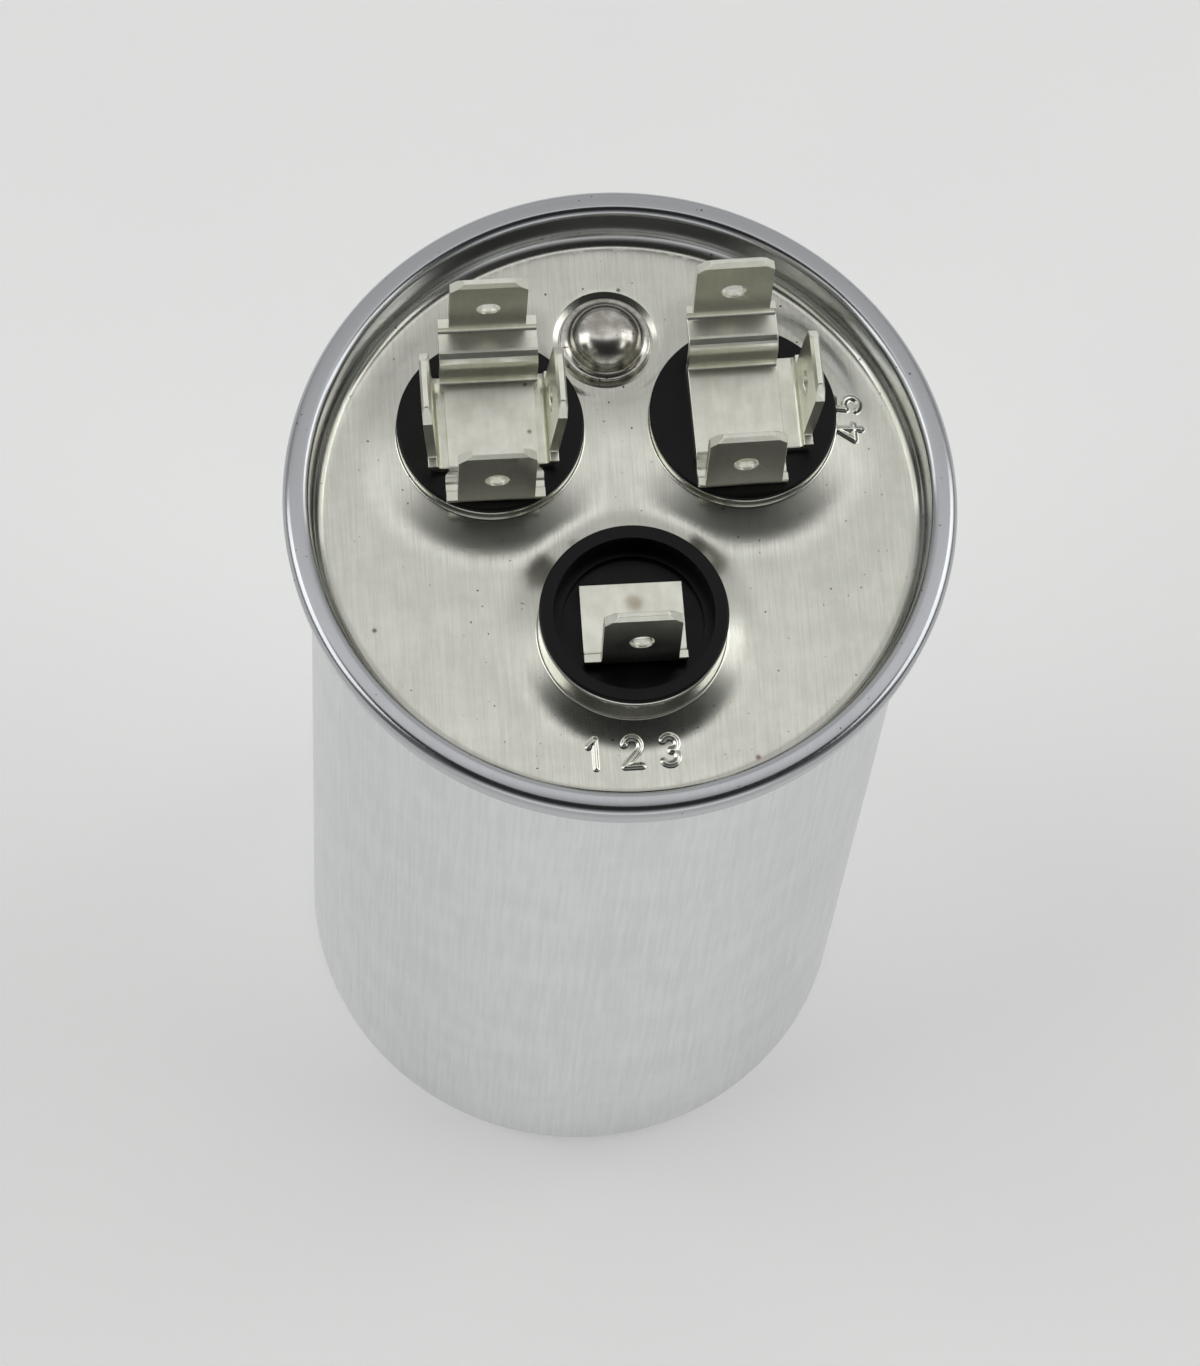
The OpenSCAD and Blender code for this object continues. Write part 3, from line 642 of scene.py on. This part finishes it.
@dataclass
class SeamSizes:
    """Sizes of the double seam that the can and the cover share, in millimetres."""

    can_r: float = 25.4
    can_h: float = 101.6
    can_wall: float = 0.45
    cover_t: float = 0.4
    cover_depth: float = 4.0
    panel_corner: float = 1.2
    wall_lean: float = 5.0
    overhang: float = 2.295
    seam_h: float = 2.8
    crest_bend: float = 0.5
    shoulder_bend: float = 0.6
    crest_tilt: float = 3.0
    gap: float = 0.03
    compound_gap: float = 0.12
    hook_end_gap: float = 0.1
    base_corner: float = 1.2
    neck_slope: float = 25.0
    neck_bend: float = 2.0

    def __post_init__(self) -> None:
        """Works out the lengths of each straight from the seam's outer sizes."""
        angle = math.radians(90.0 - self.wall_lean)
        sin, cos = math.sin(angle), math.cos(angle)
        neck = math.radians(self.neck_slope)
        self.wall_angle = 90.0 - self.wall_lean
        self.panel_mid = self.can_h - self.cover_depth - self.cover_t / 2
        self.corner_mid = self.panel_corner + self.cover_t / 2
        hook = self.can_wall + self.cover_t + 2 * self.gap
        self.hook_r = hook / 2
        rise = self.hook_r * (1 - cos)
        self.crest_flat = (2 * hook - self.crest_bend * (1 - cos)
                           - self.shoulder_bend * (1 + cos)) / sin
        self.chuck_l = (self.cover_depth - (self.corner_mid + self.crest_bend) * (1 - cos)) / sin
        self.seaming_l = (self.seam_h - self.cover_t - self.shoulder_bend * (1 + cos) - rise) / sin
        crest_r = (self.can_r + self.overhang - self.cover_t / 2 - self.shoulder_bend
                   - self.crest_flat)
        self.panel_flat = (crest_r - (self.crest_bend + self.corner_mid) * sin
                           - self.chuck_l * cos)
        self.neck_mid = self.corner_mid + self.cover_t / 2 + self.gap + self.can_wall / 2
        self.can_mid = self.can_r - self.can_wall / 2
        self.neck_l = (self.panel_flat + self.neck_mid * math.cos(neck) - self.can_mid
                       - self.neck_bend * (1 - math.cos(neck))) / math.sin(neck)
        self.neck_z = (self.panel_mid + self.corner_mid - self.neck_mid * math.sin(neck)
                       - self.neck_l * math.cos(neck) - self.neck_bend * math.sin(neck))
        flange_z = self.panel_mid + self.corner_mid - self.neck_mid * cos
        flange_top = self.can_h - self.cover_t - self.compound_gap - self.can_wall / 2 - rise
        curl_z = (self.can_h - self.cover_t / 2 - self.shoulder_bend * (1 + cos)
                  - self.seaming_l * sin)
        self.flange_l = (flange_top - flange_z) / sin
        self.hook_l = ((flange_top - curl_z) / sin - hook / math.tan(angle) - self.hook_end_gap)


@dataclass
class Can:
    """The deep-drawn can, with the slight waviness of a thin drawn wall."""

    seam: SeamSizes
    around: int = 256
    wall_steps: int = 14
    wave: float = 0.03
    # Share, lobes round the can, twist up the wall and start of each sine
    waves: tuple[tuple[float, float, float, float], ...] = (
        (1.0, 3, 2.0, 0.4), (0.6, 7, -5.0, 0.0), (0.4, 11, 9.0, 1.0))
    # Shares of the wall's height over which the wave comes in and dies out
    wave_start: tuple[float, float] = (0.02, 0.15)
    wave_end: tuple[float, float] = (0.85, 0.99)

    def build(self, shelf: FinishShelf) -> None:
        """Revolves both sides of the sheet and closes them at the hook and under the floor."""
        s = self.seam
        corner = s.base_corner - s.can_wall / 2
        wall = s.neck_z - corner - s.can_wall / 2
        step = wall / self.wall_steps
        bends = [Bend(s.can_mid - corner, 90.0, corner), *[Bend(step)] * (self.wall_steps - 1),
                 Bend(step, -s.neck_slope, s.neck_bend),
                 Bend(s.neck_l, s.neck_slope - s.wall_lean, s.neck_mid),
                 Bend(s.flange_l, -180.0, s.hook_r), Bend(s.hook_l)]
        line = sheet_line(0.0, s.can_wall / 2, 0.0, bends)
        half = s.can_wall / 2
        outline = np.vstack([beside(line, -half), beside(line, half)[::-1]])
        vertices = self.waved(revolve(outline, self.around))
        skin = Skin()
        skin.add(vertices, grid_faces(len(outline), self.around))
        finish_piece(skin.piece("can_drawn"), shelf, "can_aluminium", "can")

    def waved(self, vertices: Array) -> Array:
        """Moves the wall in and out by sums of slow sines of angle and height.

        Args:
            vertices: the plain can.
        Returns:
            The can with its wave, none at the base and the neck.
        """
        angle = np.arctan2(vertices[:, 1], vertices[:, 0])
        height = vertices[:, 2] / self.seam.neck_z
        calm = (smoothstep(height, *self.wave_start)
                * (1.0 - smoothstep(height, *self.wave_end)))
        wave = sum(share * np.sin(lobes * angle + twist * height + start)
                   for share, lobes, twist, start in self.waves)
        scale = 1.0 + self.wave * calm * wave / (2.0 * self.seam.can_r)
        return np.column_stack([vertices[:, :2] * scale[:, None], vertices[:, 2]])


@dataclass
class Collar:
    """One collar drawn up from the panel, with the soft climb of the sheet round it."""

    centre: tuple[float, float]
    height: float
    climb: float
    ramp: float
    reach: float
    radius: float = 7.75
    foot: float = 0.2

    def slope(self) -> float:
        """Slope of the panel where it meets the collar's foot, as a ratio."""
        return math.tan(math.radians(self.climb))

    def loop_radius(self) -> float:
        """Radius at which the foot's arc takes over from the panel."""
        return self.radius + self.foot * (1.0 - math.sin(math.radians(self.climb)))

    def rise(self, points: Array) -> Array:
        """Climb of the panel towards the collar.

        The slope is full for the ramp and then dies out along a smooth step by the reach, so
        with t = (d - ramp) / (reach - ramp) the height is slope times the sum of what is left of
        the ramp and (reach - ramp) (1/2 - t + t^3 - t^4 / 2).

        Args:
            points: x, y rows.
        Returns:
            The height at each point.
        """
        outside = np.maximum(away_from(points, self.centre) - self.loop_radius(), 0.0)
        span = self.reach - self.ramp
        t = np.clip((outside - self.ramp) / span, 0.0, 1.0)
        tail = span * (0.5 - t + t ** 3 - 0.5 * t ** 4)
        return self.slope() * (np.maximum(self.ramp - outside, 0.0) + tail)


@dataclass
class Cover:
    """The tinplate cover: panel, collars, dish and seam as one sheet."""

    seam: SeamSizes
    collars: list[Collar]
    marks: list[StampedMark]
    plug_at: tuple[float, float]
    dish_r: float = 3.85
    dish_depth: float = 0.2
    dish_slope: float = 20.0
    dish_bend: float = 0.3
    plug_hole: float = 2.0
    flange_t: float = 0.35
    around_rim: int = 256
    around_collar: int = 144
    around_dish: int = 96
    # The panel's mesh: grids, rings inside the rim and round a collar, and clear margins
    half_span: float = 25.0
    cell: float = 0.42
    fine_cell: float = 0.1
    rim_steps: tuple[float, ...] = (0.12, 0.3, 0.55)
    ring_count: int = 12
    ring_reach: float = 4.8
    ring_crowding: float = 1.3
    rim_margin: float = 0.06
    dish_margin: float = 0.08
    collar_margin: float = 0.02
    mark_margin: float = 0.05
    # Widths over which the collars' climbs fade out, and rings up a collar's foot and wall
    rim_fade: float = 2.5
    dish_fade: float = 1.5
    foot_rings: int = 9
    wall_rings: int = 5

    def __post_init__(self) -> None:
        """Places the panel's upper face and the dish's edge."""
        slope = math.radians(self.dish_slope)
        self.panel_z = self.seam.can_h - self.seam.cover_depth
        self.dish_run = ((self.dish_depth - 2 * self.dish_bend * (1 - math.cos(slope)))
                         / math.sin(slope))
        self.dish_edge = (self.dish_r + self.dish_run * math.cos(slope)
                          + 2 * self.dish_bend * math.sin(slope))

    def height(self, points: Array) -> Array:
        """Height of the panel's upper face over its flat level.

        The collars' climbs add up, fade out towards the seam's corner and the dish, and the
        stamped numbers are added to them.

        Args:
            points: x, y rows.
        Returns:
            The height at each point.
        """
        from_rim = self.seam.panel_flat - away_from(points, (0.0, 0.0))
        from_dish = away_from(points, self.plug_at) - self.dish_edge
        fade = (smoothstep(from_rim, 0.0, self.rim_fade)
                * smoothstep(from_dish, 0.0, self.dish_fade))
        climb = sum(collar.rise(points) for collar in self.collars)
        stamped = sum(mark.lift(points) for mark in self.marks)
        return climb * fade + stamped

    def panel_points(self) -> Array:
        """Spreads points over the panel: loops at its edges, rings, fine stamped areas, a grid.

        Returns:
            All points as x, y rows, with the loops first.
        """
        loops = [self.circle((0.0, 0.0), self.seam.panel_flat, self.around_rim),
                 self.circle(self.plug_at, self.dish_edge, self.around_dish)]
        loops += [self.circle(c.centre, c.loop_radius(), self.around_collar) for c in self.collars]
        rings = [self.circle(c.centre, c.loop_radius() + step, self.around_collar)
                 for c in self.collars for step in self.ring_steps()]
        rings += [self.circle((0.0, 0.0), self.seam.panel_flat - step, self.around_rim)
                  for step in self.rim_steps]
        span = self.half_span
        spread = np.vstack([*rings, self.grid(-span, -span, span, span, self.cell)])
        fine = []
        for mark in self.marks:
            low, high = mark.box()
            inside = (spread > low - self.mark_margin) & (spread < high + self.mark_margin)
            spread = spread[~np.all(inside, axis=1)]
            fine.append(self.grid(*low, *high, self.fine_cell))
        points = np.vstack([spread, *fine])
        return np.vstack([*loops, points[self.inside_panel(points)]])

    def ring_steps(self) -> Array:
        """Distances of the rings round a collar, closer together near its foot."""
        share = np.linspace(0.0, 1.0, self.ring_count + 1)[1:]
        return self.ring_reach * share ** self.ring_crowding

    def inside_panel(self, points: Array) -> Array:
        """Which points lie on the panel, a little clear of its loops and of coarse doubles.

        Args:
            points: x, y rows.
        Returns:
            A truth value for each point.
        """
        keep = away_from(points, (0.0, 0.0)) < self.seam.panel_flat - self.rim_margin
        keep &= away_from(points, self.plug_at) > self.dish_edge + self.dish_margin
        for collar in self.collars:
            clear = collar.loop_radius() + self.collar_margin
            keep &= away_from(points, collar.centre) > clear
        return keep

    @staticmethod
    def circle(centre: tuple[float, float], radius: float, count: int) -> Array:
        """Points round a circle in plan, the same as a ring of revolve()."""
        return revolve(np.array([[radius, 0.0]]), count, centre)[:, :2]

    @staticmethod
    def grid(x0: float, y0: float, x1: float, y1: float, cell: float) -> Array:
        """Points of an even grid whose alternate rows are set over by half a cell."""
        x, y = np.meshgrid(np.arange(x0, x1, cell), np.arange(y0, y1, cell * ROW_SHARE))
        x[1::2] += cell / 2
        return np.column_stack([x.ravel(), y.ravel()])

    def panel(self) -> tuple[Array, Array]:
        """Triangulates the panel and lifts it by height().

        Returns:
            Vertices and triangles, without those that would bridge a hole.
        """
        flat, _, faces, *_ = delaunay_2d_cdt(self.panel_points().tolist(), [], [], 0, SNAP)
        flat = np.array([tuple(point) for point in flat])
        faces = np.array(faces)
        middle = flat[faces].mean(axis=1)
        keep = away_from(middle, self.plug_at) > self.dish_edge
        for collar in self.collars:
            keep &= away_from(middle, collar.centre) > collar.loop_radius()
        height = self.panel_z + self.height(flat)
        return np.column_stack([flat, height]), faces[keep]

    def collar_patch(self, collar: Collar) -> Array:
        """Rings of one collar, from the panel's loop round the foot's arc and up the wall.

        The arc runs from the panel's slope to upright, r = R + foot (1 - sin b) and
        z = foot (cos b0 - cos b). The loop's own height is carried up and fades with height.

        Args:
            collar: the collar to draw.
        Returns:
            Vertices, ring after ring.
        """
        climb = math.radians(collar.climb)
        bend = np.linspace(climb, np.pi / 2, self.foot_rings)
        arc_r = collar.radius + collar.foot * (1.0 - np.sin(bend))
        arc_z = collar.foot * (math.cos(climb) - np.cos(bend))
        top = collar.height - self.flange_t
        wall_z = np.linspace(arc_z[-1], top, self.wall_rings)[1:]
        profile = np.column_stack([np.concatenate([arc_r, np.full(len(wall_z), collar.radius)]),
                                   np.concatenate([arc_z, wall_z])])
        rings = revolve(profile, self.around_collar, collar.centre).reshape(
            len(profile), self.around_collar, 3)
        lift = self.height(rings[0, :, :2])
        carried = 1.0 - profile[:, 1] / top
        rings[:, :, 2] += self.panel_z + carried[:, None] * lift[None, :]
        return rings.reshape(-1, 3)

    def build(self, shelf: FinishShelf) -> None:
        """Puts panel, seam, collars and dish together and gives the sheet its thickness."""
        s = self.seam
        skin = Skin()
        skin.add(*self.panel())
        line = sheet_line(s.panel_flat, s.panel_mid, 0.0, [
            Bend(0.0, s.wall_angle, s.corner_mid),
            Bend(s.chuck_l, -s.wall_angle - s.crest_tilt, s.crest_bend),
            Bend(s.crest_flat, s.wall_angle + s.crest_tilt - 180.0, s.shoulder_bend),
            Bend(s.seaming_l, -180.0, s.hook_r), Bend(s.hook_l)])
        rim = beside(line, s.cover_t / 2)
        skin.add(revolve(rim, self.around_rim), grid_faces(len(rim), self.around_rim))
        for collar in self.collars:
            rings = self.collar_patch(collar)
            skin.add(rings, grid_faces(len(rings) // self.around_collar, self.around_collar))
        dish = beside(sheet_line(self.dish_edge, s.panel_mid, 180.0, [
            Bend(0.0, self.dish_slope, self.dish_bend),
            Bend(self.dish_run, -self.dish_slope, self.dish_bend),
            Bend(self.dish_r - self.plug_hole)]), -s.cover_t / 2)
        skin.add(revolve(dish, self.around_dish, self.plug_at),
                 grid_faces(len(dish), self.around_dish))
        piece = skin.piece("cover_pressed", upward=True)
        thick = piece.modifiers.new("sheet", "SOLIDIFY")
        thick.thickness = s.cover_t * MM
        thick.offset = -1.0
        finish_piece(piece, shelf, "cover_tinplate", "cover")


@dataclass
class FillPlug:
    """The domed plug, a body of revolution with a rolled rim."""

    centre: tuple[float, float]
    seat_z: float
    rim_r: float = 3.8
    dome_r: float = 3.05
    dome_h: float = 2.0
    rim_t: float = 0.35
    shank_r: float = 1.9
    foot_r: float = 2.6
    foot_t: float = 0.6
    sheet: float = 0.4
    dome_power: float = 2.6
    around: int = 160
    rim_points: int = 14
    dome_points: int = 40

    def profile(self) -> Array:
        """Outline from the foot round the rim to the top.

        The dome is z = h (1 - (r / R)^p)^0.5 over the rim. A power p over 2 makes it flatter on
        top than a ball.

        Returns:
            Radius and height over the seat for each point.
        """
        edge = self.rim_t / 2
        turn = np.radians(np.linspace(-90, 90, self.rim_points))
        rim = np.column_stack([self.rim_r - edge + edge * np.cos(turn),
                               edge + edge * np.sin(turn)])
        across = np.cos(np.linspace(0.0, np.pi / 2, self.dome_points))
        rise = self.dome_h * np.sqrt(1.0 - across ** self.dome_power)
        dome = np.column_stack([self.dome_r * across, self.rim_t + rise])
        below = -self.sheet - self.foot_t
        foot = np.array([[0.0, below], [self.foot_r, below], [self.foot_r, -self.sheet],
                         [self.shank_r, -self.sheet], [self.shank_r, 0.0]])
        return np.vstack([foot, rim, dome])

    def build(self, shelf: FinishShelf) -> None:
        """Revolves the outline in its place."""
        outline = self.profile() + [0.0, self.seat_z]
        skin = Skin()
        skin.add(revolve(outline, self.around, self.centre), grid_faces(len(outline), self.around))
        finish_piece(skin.piece("plug_pressed"), shelf, "plug_tin", "fill_plug")


# -------------------- solids that stay

@dataclass
class KeptSolids:
    """The pieces whose solids are right: they get their finish, and stamped ones soft edges."""

    edge: float = 0.12
    edge_steps: int = 2
    sharp: float = 30.0
    edged: tuple[str, ...] = ("common_lower_strip", "common_upper_strip",
                              "compressor_lower_strip", "compressor_upper_strip", "fan_terminal")

    def dress(self, shelf: FinishShelf) -> None:
        """Gives every node the finish of its slot."""
        for row in frame["record"]["subparts"]:
            solid = frame["nodes"][row["node"]]
            material = shelf.of_slot(row["material_slot"])
            if not solid.material_slots:
                solid.data.materials.append(material)
            for slot in solid.material_slots:
                slot.material = material
            if row["node"] in self.edged:
                self.soften(solid)
            LOG.info("%s: %s", row["node"], material.name)

    def soften(self, solid: bpy.types.Object) -> None:
        """Welds the solid's triangles and rounds its edges sharper than a named turn."""
        weld = solid.modifiers.new("weld", "WELD")
        weld.merge_threshold = MERGE
        bevel = solid.modifiers.new("edge", "BEVEL")
        bevel.width = self.edge * MM
        bevel.segments = self.edge_steps
        bevel.limit_method = "ANGLE"
        bevel.angle_limit = math.radians(self.sharp)
        bevel.harden_normals = True


# -------------------- studio

@dataclass
class Studio:
    """The pale table, the lamps, the surroundings that the metal mirrors, and the camera."""

    azimuth: float = -10.6
    elevation: float = 69.211
    roll: float = 6.991
    distance: float = 470.093
    aside: tuple[float, float] = (-1.729, -15.346)
    focal: float = 151.4
    look_z: float = 101.6
    brightest: float = 1.6
    table_lift: float = 0.28
    table_half: float = 3.0
    table_colours: tuple[str, str] = ("#E9EAE8", "#E4E5E4")
    table_mottle: float = 30.0
    table_roughness: float = 0.9
    lamp_at: tuple[float, float, float] = (1.0, 0.1, 0.95)
    lamp_size: tuple[float, float] = (0.9, 0.9)
    lamp_radiance: float = 1.6
    side_share: tuple[float, float] = (0.45, 0.8)
    middle_levels: tuple[tuple[float, float], ...] = (
        (-90, 0.55), (-60, 0.66), (-34, 0.60), (-26, 0.64), (-21, 0.88), (-16, 1.15), (-12, 0.9),
        (-8, 0.10), (-4, 0.02), (34, 0.03), (48, 0.15), (60, 0.45), (74, 0.9), (90, 1.3))
    side_levels: tuple[tuple[float, float], ...] = (
        (-90, 0.50), (-40, 0.30), (-15, 0.4), (10, 0.25), (40, 0.15), (75, 0.2), (90, 0.6))

    def axes(self) -> tuple[Vector, Vector, Vector]:
        """Returns the camera's right, up and backward directions after its roll."""
        e, a, r = (math.radians(v) for v in (self.elevation, self.azimuth, self.roll))
        back = Vector((math.sin(a) * math.cos(e), -math.cos(a) * math.cos(e), math.sin(e)))
        right = Vector((math.cos(a), math.sin(a), 0.0))
        up = back.cross(right)
        return (math.cos(r) * right + math.sin(r) * up,
                math.cos(r) * up - math.sin(r) * right, back)

    def place_camera(self) -> None:
        """Puts the camera where it looks down on the cover from the fan terminal's side."""
        right, up, back = self.axes()
        spot = (Vector((0.0, 0.0, self.look_z)) + self.distance * back
                + self.aside[0] * right + self.aside[1] * up)
        data = bpy.data.cameras.new("camera")
        data.lens = self.focal
        camera = new_object("camera", data)
        turn = Matrix((right, up, back)).transposed().to_4x4()
        camera.matrix_world = Matrix.Translation(spot * MM) @ turn
        bpy.context.scene.camera = camera

    def lay_table(self) -> None:
        """Lays a broad pale table with a soft mottle."""
        mesh = bpy.data.meshes.new("table")
        half = self.table_half
        mesh.from_pydata([(-half, -half, 0), (half, -half, 0), (half, half, 0), (-half, half, 0)],
                         [], [(0, 1, 2, 3)])
        table = new_object("table", mesh)
        material, tree, output = new_material("matt_table")
        place = add_node(tree, "ShaderNodeTexCoord").outputs["Object"]
        mottle = add_node(tree, "ShaderNodeTexNoise", inputs={
            "Vector": place, "Scale": self.table_mottle, "Detail": 4.0}).outputs["Fac"]
        colour = add_node(tree, "ShaderNodeMix", {"data_type": "RGBA"}, {
            "Factor": mottle, "A": linear(self.table_colours[0]),
            "B": linear(self.table_colours[1])}).outputs["Result"]
        path = add_node(tree, "ShaderNodeLightPath")
        shown = path.outputs["Is Camera Ray"]
        for ray in ("Is Glossy Ray", "Is Transmission Ray"):
            shown = add_node(tree, "ShaderNodeMath", {"operation": "MAXIMUM"}, {
                0: shown, 1: path.outputs[ray]}).outputs[0]
        lift = add_node(tree, "ShaderNodeMath", {"operation": "MULTIPLY"}, {
            0: shown, 1: self.table_lift}).outputs[0]
        shader = add_node(tree, "ShaderNodeBsdfPrincipled", inputs={
            "Base Color": colour, "Roughness": self.table_roughness, "Emission Color": colour,
            "Emission Strength": lift})
        tree.links.new(shader.outputs[0], output.inputs[0])
        mesh.materials.append(material)

    def hang_lamp(self, name: str, side: float) -> None:
        """Hangs one soft box that faces the cover.

        A face of radiance L, where 1 is white, and area A gives off pi L A watts.

        Args:
            name: the lamp's name.
            side: -1 for the left of the table and 1 for the right.
        """
        spot = (side * self.lamp_at[0], *self.lamp_at[1:])
        data = bpy.data.lights.new(name, "AREA")
        data.shape = "RECTANGLE"
        data.size, data.size_y = self.lamp_size
        data.energy = self.lamp_radiance * math.pi * self.lamp_size[0] * self.lamp_size[1]
        lamp = new_object(name, data)
        aim = Vector((0.0, 0.0, self.look_z * MM)) - Vector(spot)
        lamp.rotation_euler = aim.to_track_quat("-Z", "Y").to_euler()
        lamp.location = spot

    def surround(self) -> None:
        """Paints the room by how far each direction leans from overhead, back or to the front.

        The lean is atan2(-y, z): -90 degrees at the back of the room, 0 overhead and 90 in front.
        One run of levels serves the middle of the room and another its two sides.
        """
        world = bpy.data.worlds.new("room")
        bpy.context.scene.world = world
        world.use_nodes = True
        tree = world.node_tree
        tree.nodes.clear()
        toward = add_node(tree, "ShaderNodeTexCoord").outputs["Generated"]
        parts = add_node(tree, "ShaderNodeSeparateXYZ", inputs={0: toward})
        front = add_node(tree, "ShaderNodeMath", {"operation": "MULTIPLY"}, {
            0: parts.outputs["Y"], 1: -1.0}).outputs[0]
        lean = add_node(tree, "ShaderNodeMath", {"operation": "ARCTAN2"}, {
            0: front, 1: parts.outputs["Z"]}).outputs[0]
        place = add_node(tree, "ShaderNodeMapRange", inputs={
            "Value": lean, "From Min": -math.pi / 2, "From Max": math.pi / 2}).outputs["Result"]
        levels = [add_node(tree, "ShaderNodeValToRGB", inputs={0: place}, stops=[
            ((degrees + 90) / 180, level / self.brightest) for degrees, level in run]).outputs[0]
            for run in (self.middle_levels, self.side_levels)]
        aside = add_node(tree, "ShaderNodeMath", {"operation": "ABSOLUTE"}, {
            0: parts.outputs["X"]}).outputs[0]
        share = add_node(tree, "ShaderNodeMapRange", {"interpolation_type": "SMOOTHSTEP"}, {
            "Value": aside, "From Min": self.side_share[0],
            "From Max": self.side_share[1]}).outputs["Result"]
        level = add_node(tree, "ShaderNodeMix", {"data_type": "RGBA"}, {
            "Factor": share, "A": levels[0], "B": levels[1]}).outputs["Result"]
        room = add_node(tree, "ShaderNodeBackground", inputs={
            "Color": level, "Strength": self.brightest}).outputs[0]
        add_node(tree, "ShaderNodeOutputWorld", inputs={0: room})

    def build(self) -> None:
        """Sets the table, the room, the lamps and the camera."""
        bpy.context.scene.view_settings.view_transform = "Standard"
        self.place_camera()
        self.lay_table()
        self.surround()
        self.hang_lamp("left", -1.0)
        self.hang_lamp("right", 1.0)


# -------------------- the capacitor

# For each insulator, its collar's climb in degrees, and the ramp and reach in millimetres
COLLAR_CLIMBS: dict[str, tuple[float, float, float]] = {
    "common_insulator": (9.0, 1.6, 4.8),
    "compressor_insulator": (9.0, 1.6, 4.8),
    "fan_insulator": (12.0, 0.8, 3.4),
}


def middle_of(node: str) -> tuple[float, float]:
    """Middle of a node in plan, in millimetres."""
    low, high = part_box(node)
    return tuple((low[i] + high[i]) / (2 * MM) for i in (0, 1))


def main() -> None:
    """Builds the studio, the sheet metal and the finishes, and reports each piece."""
    logging.basicConfig(level=logging.INFO, format="%(name)s %(message)s")
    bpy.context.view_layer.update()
    shelf = FinishShelf()
    Studio().build()
    seam = SeamSizes()
    panel_z = seam.can_h - seam.cover_depth
    collars = [Collar(middle_of(node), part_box(node)[1][2] / MM - panel_z, *climb)
               for node, climb in COLLAR_CLIMBS.items()]
    marks = [StampedMark("123", (-0.4, -20.95)),
             StampedMark("45", (19.6, 7.4), turn=90.0, height=2.1, pitch=2.6)]
    plug_at = middle_of("fill_plug")
    cover = Cover(seam, collars, marks, plug_at)
    KeptSolids().dress(shelf)
    Can(seam).build(shelf)
    cover.build(shelf)
    FillPlug(plug_at, panel_z - cover.dish_depth).build(shelf)


if __name__ == "__main__":
    main()
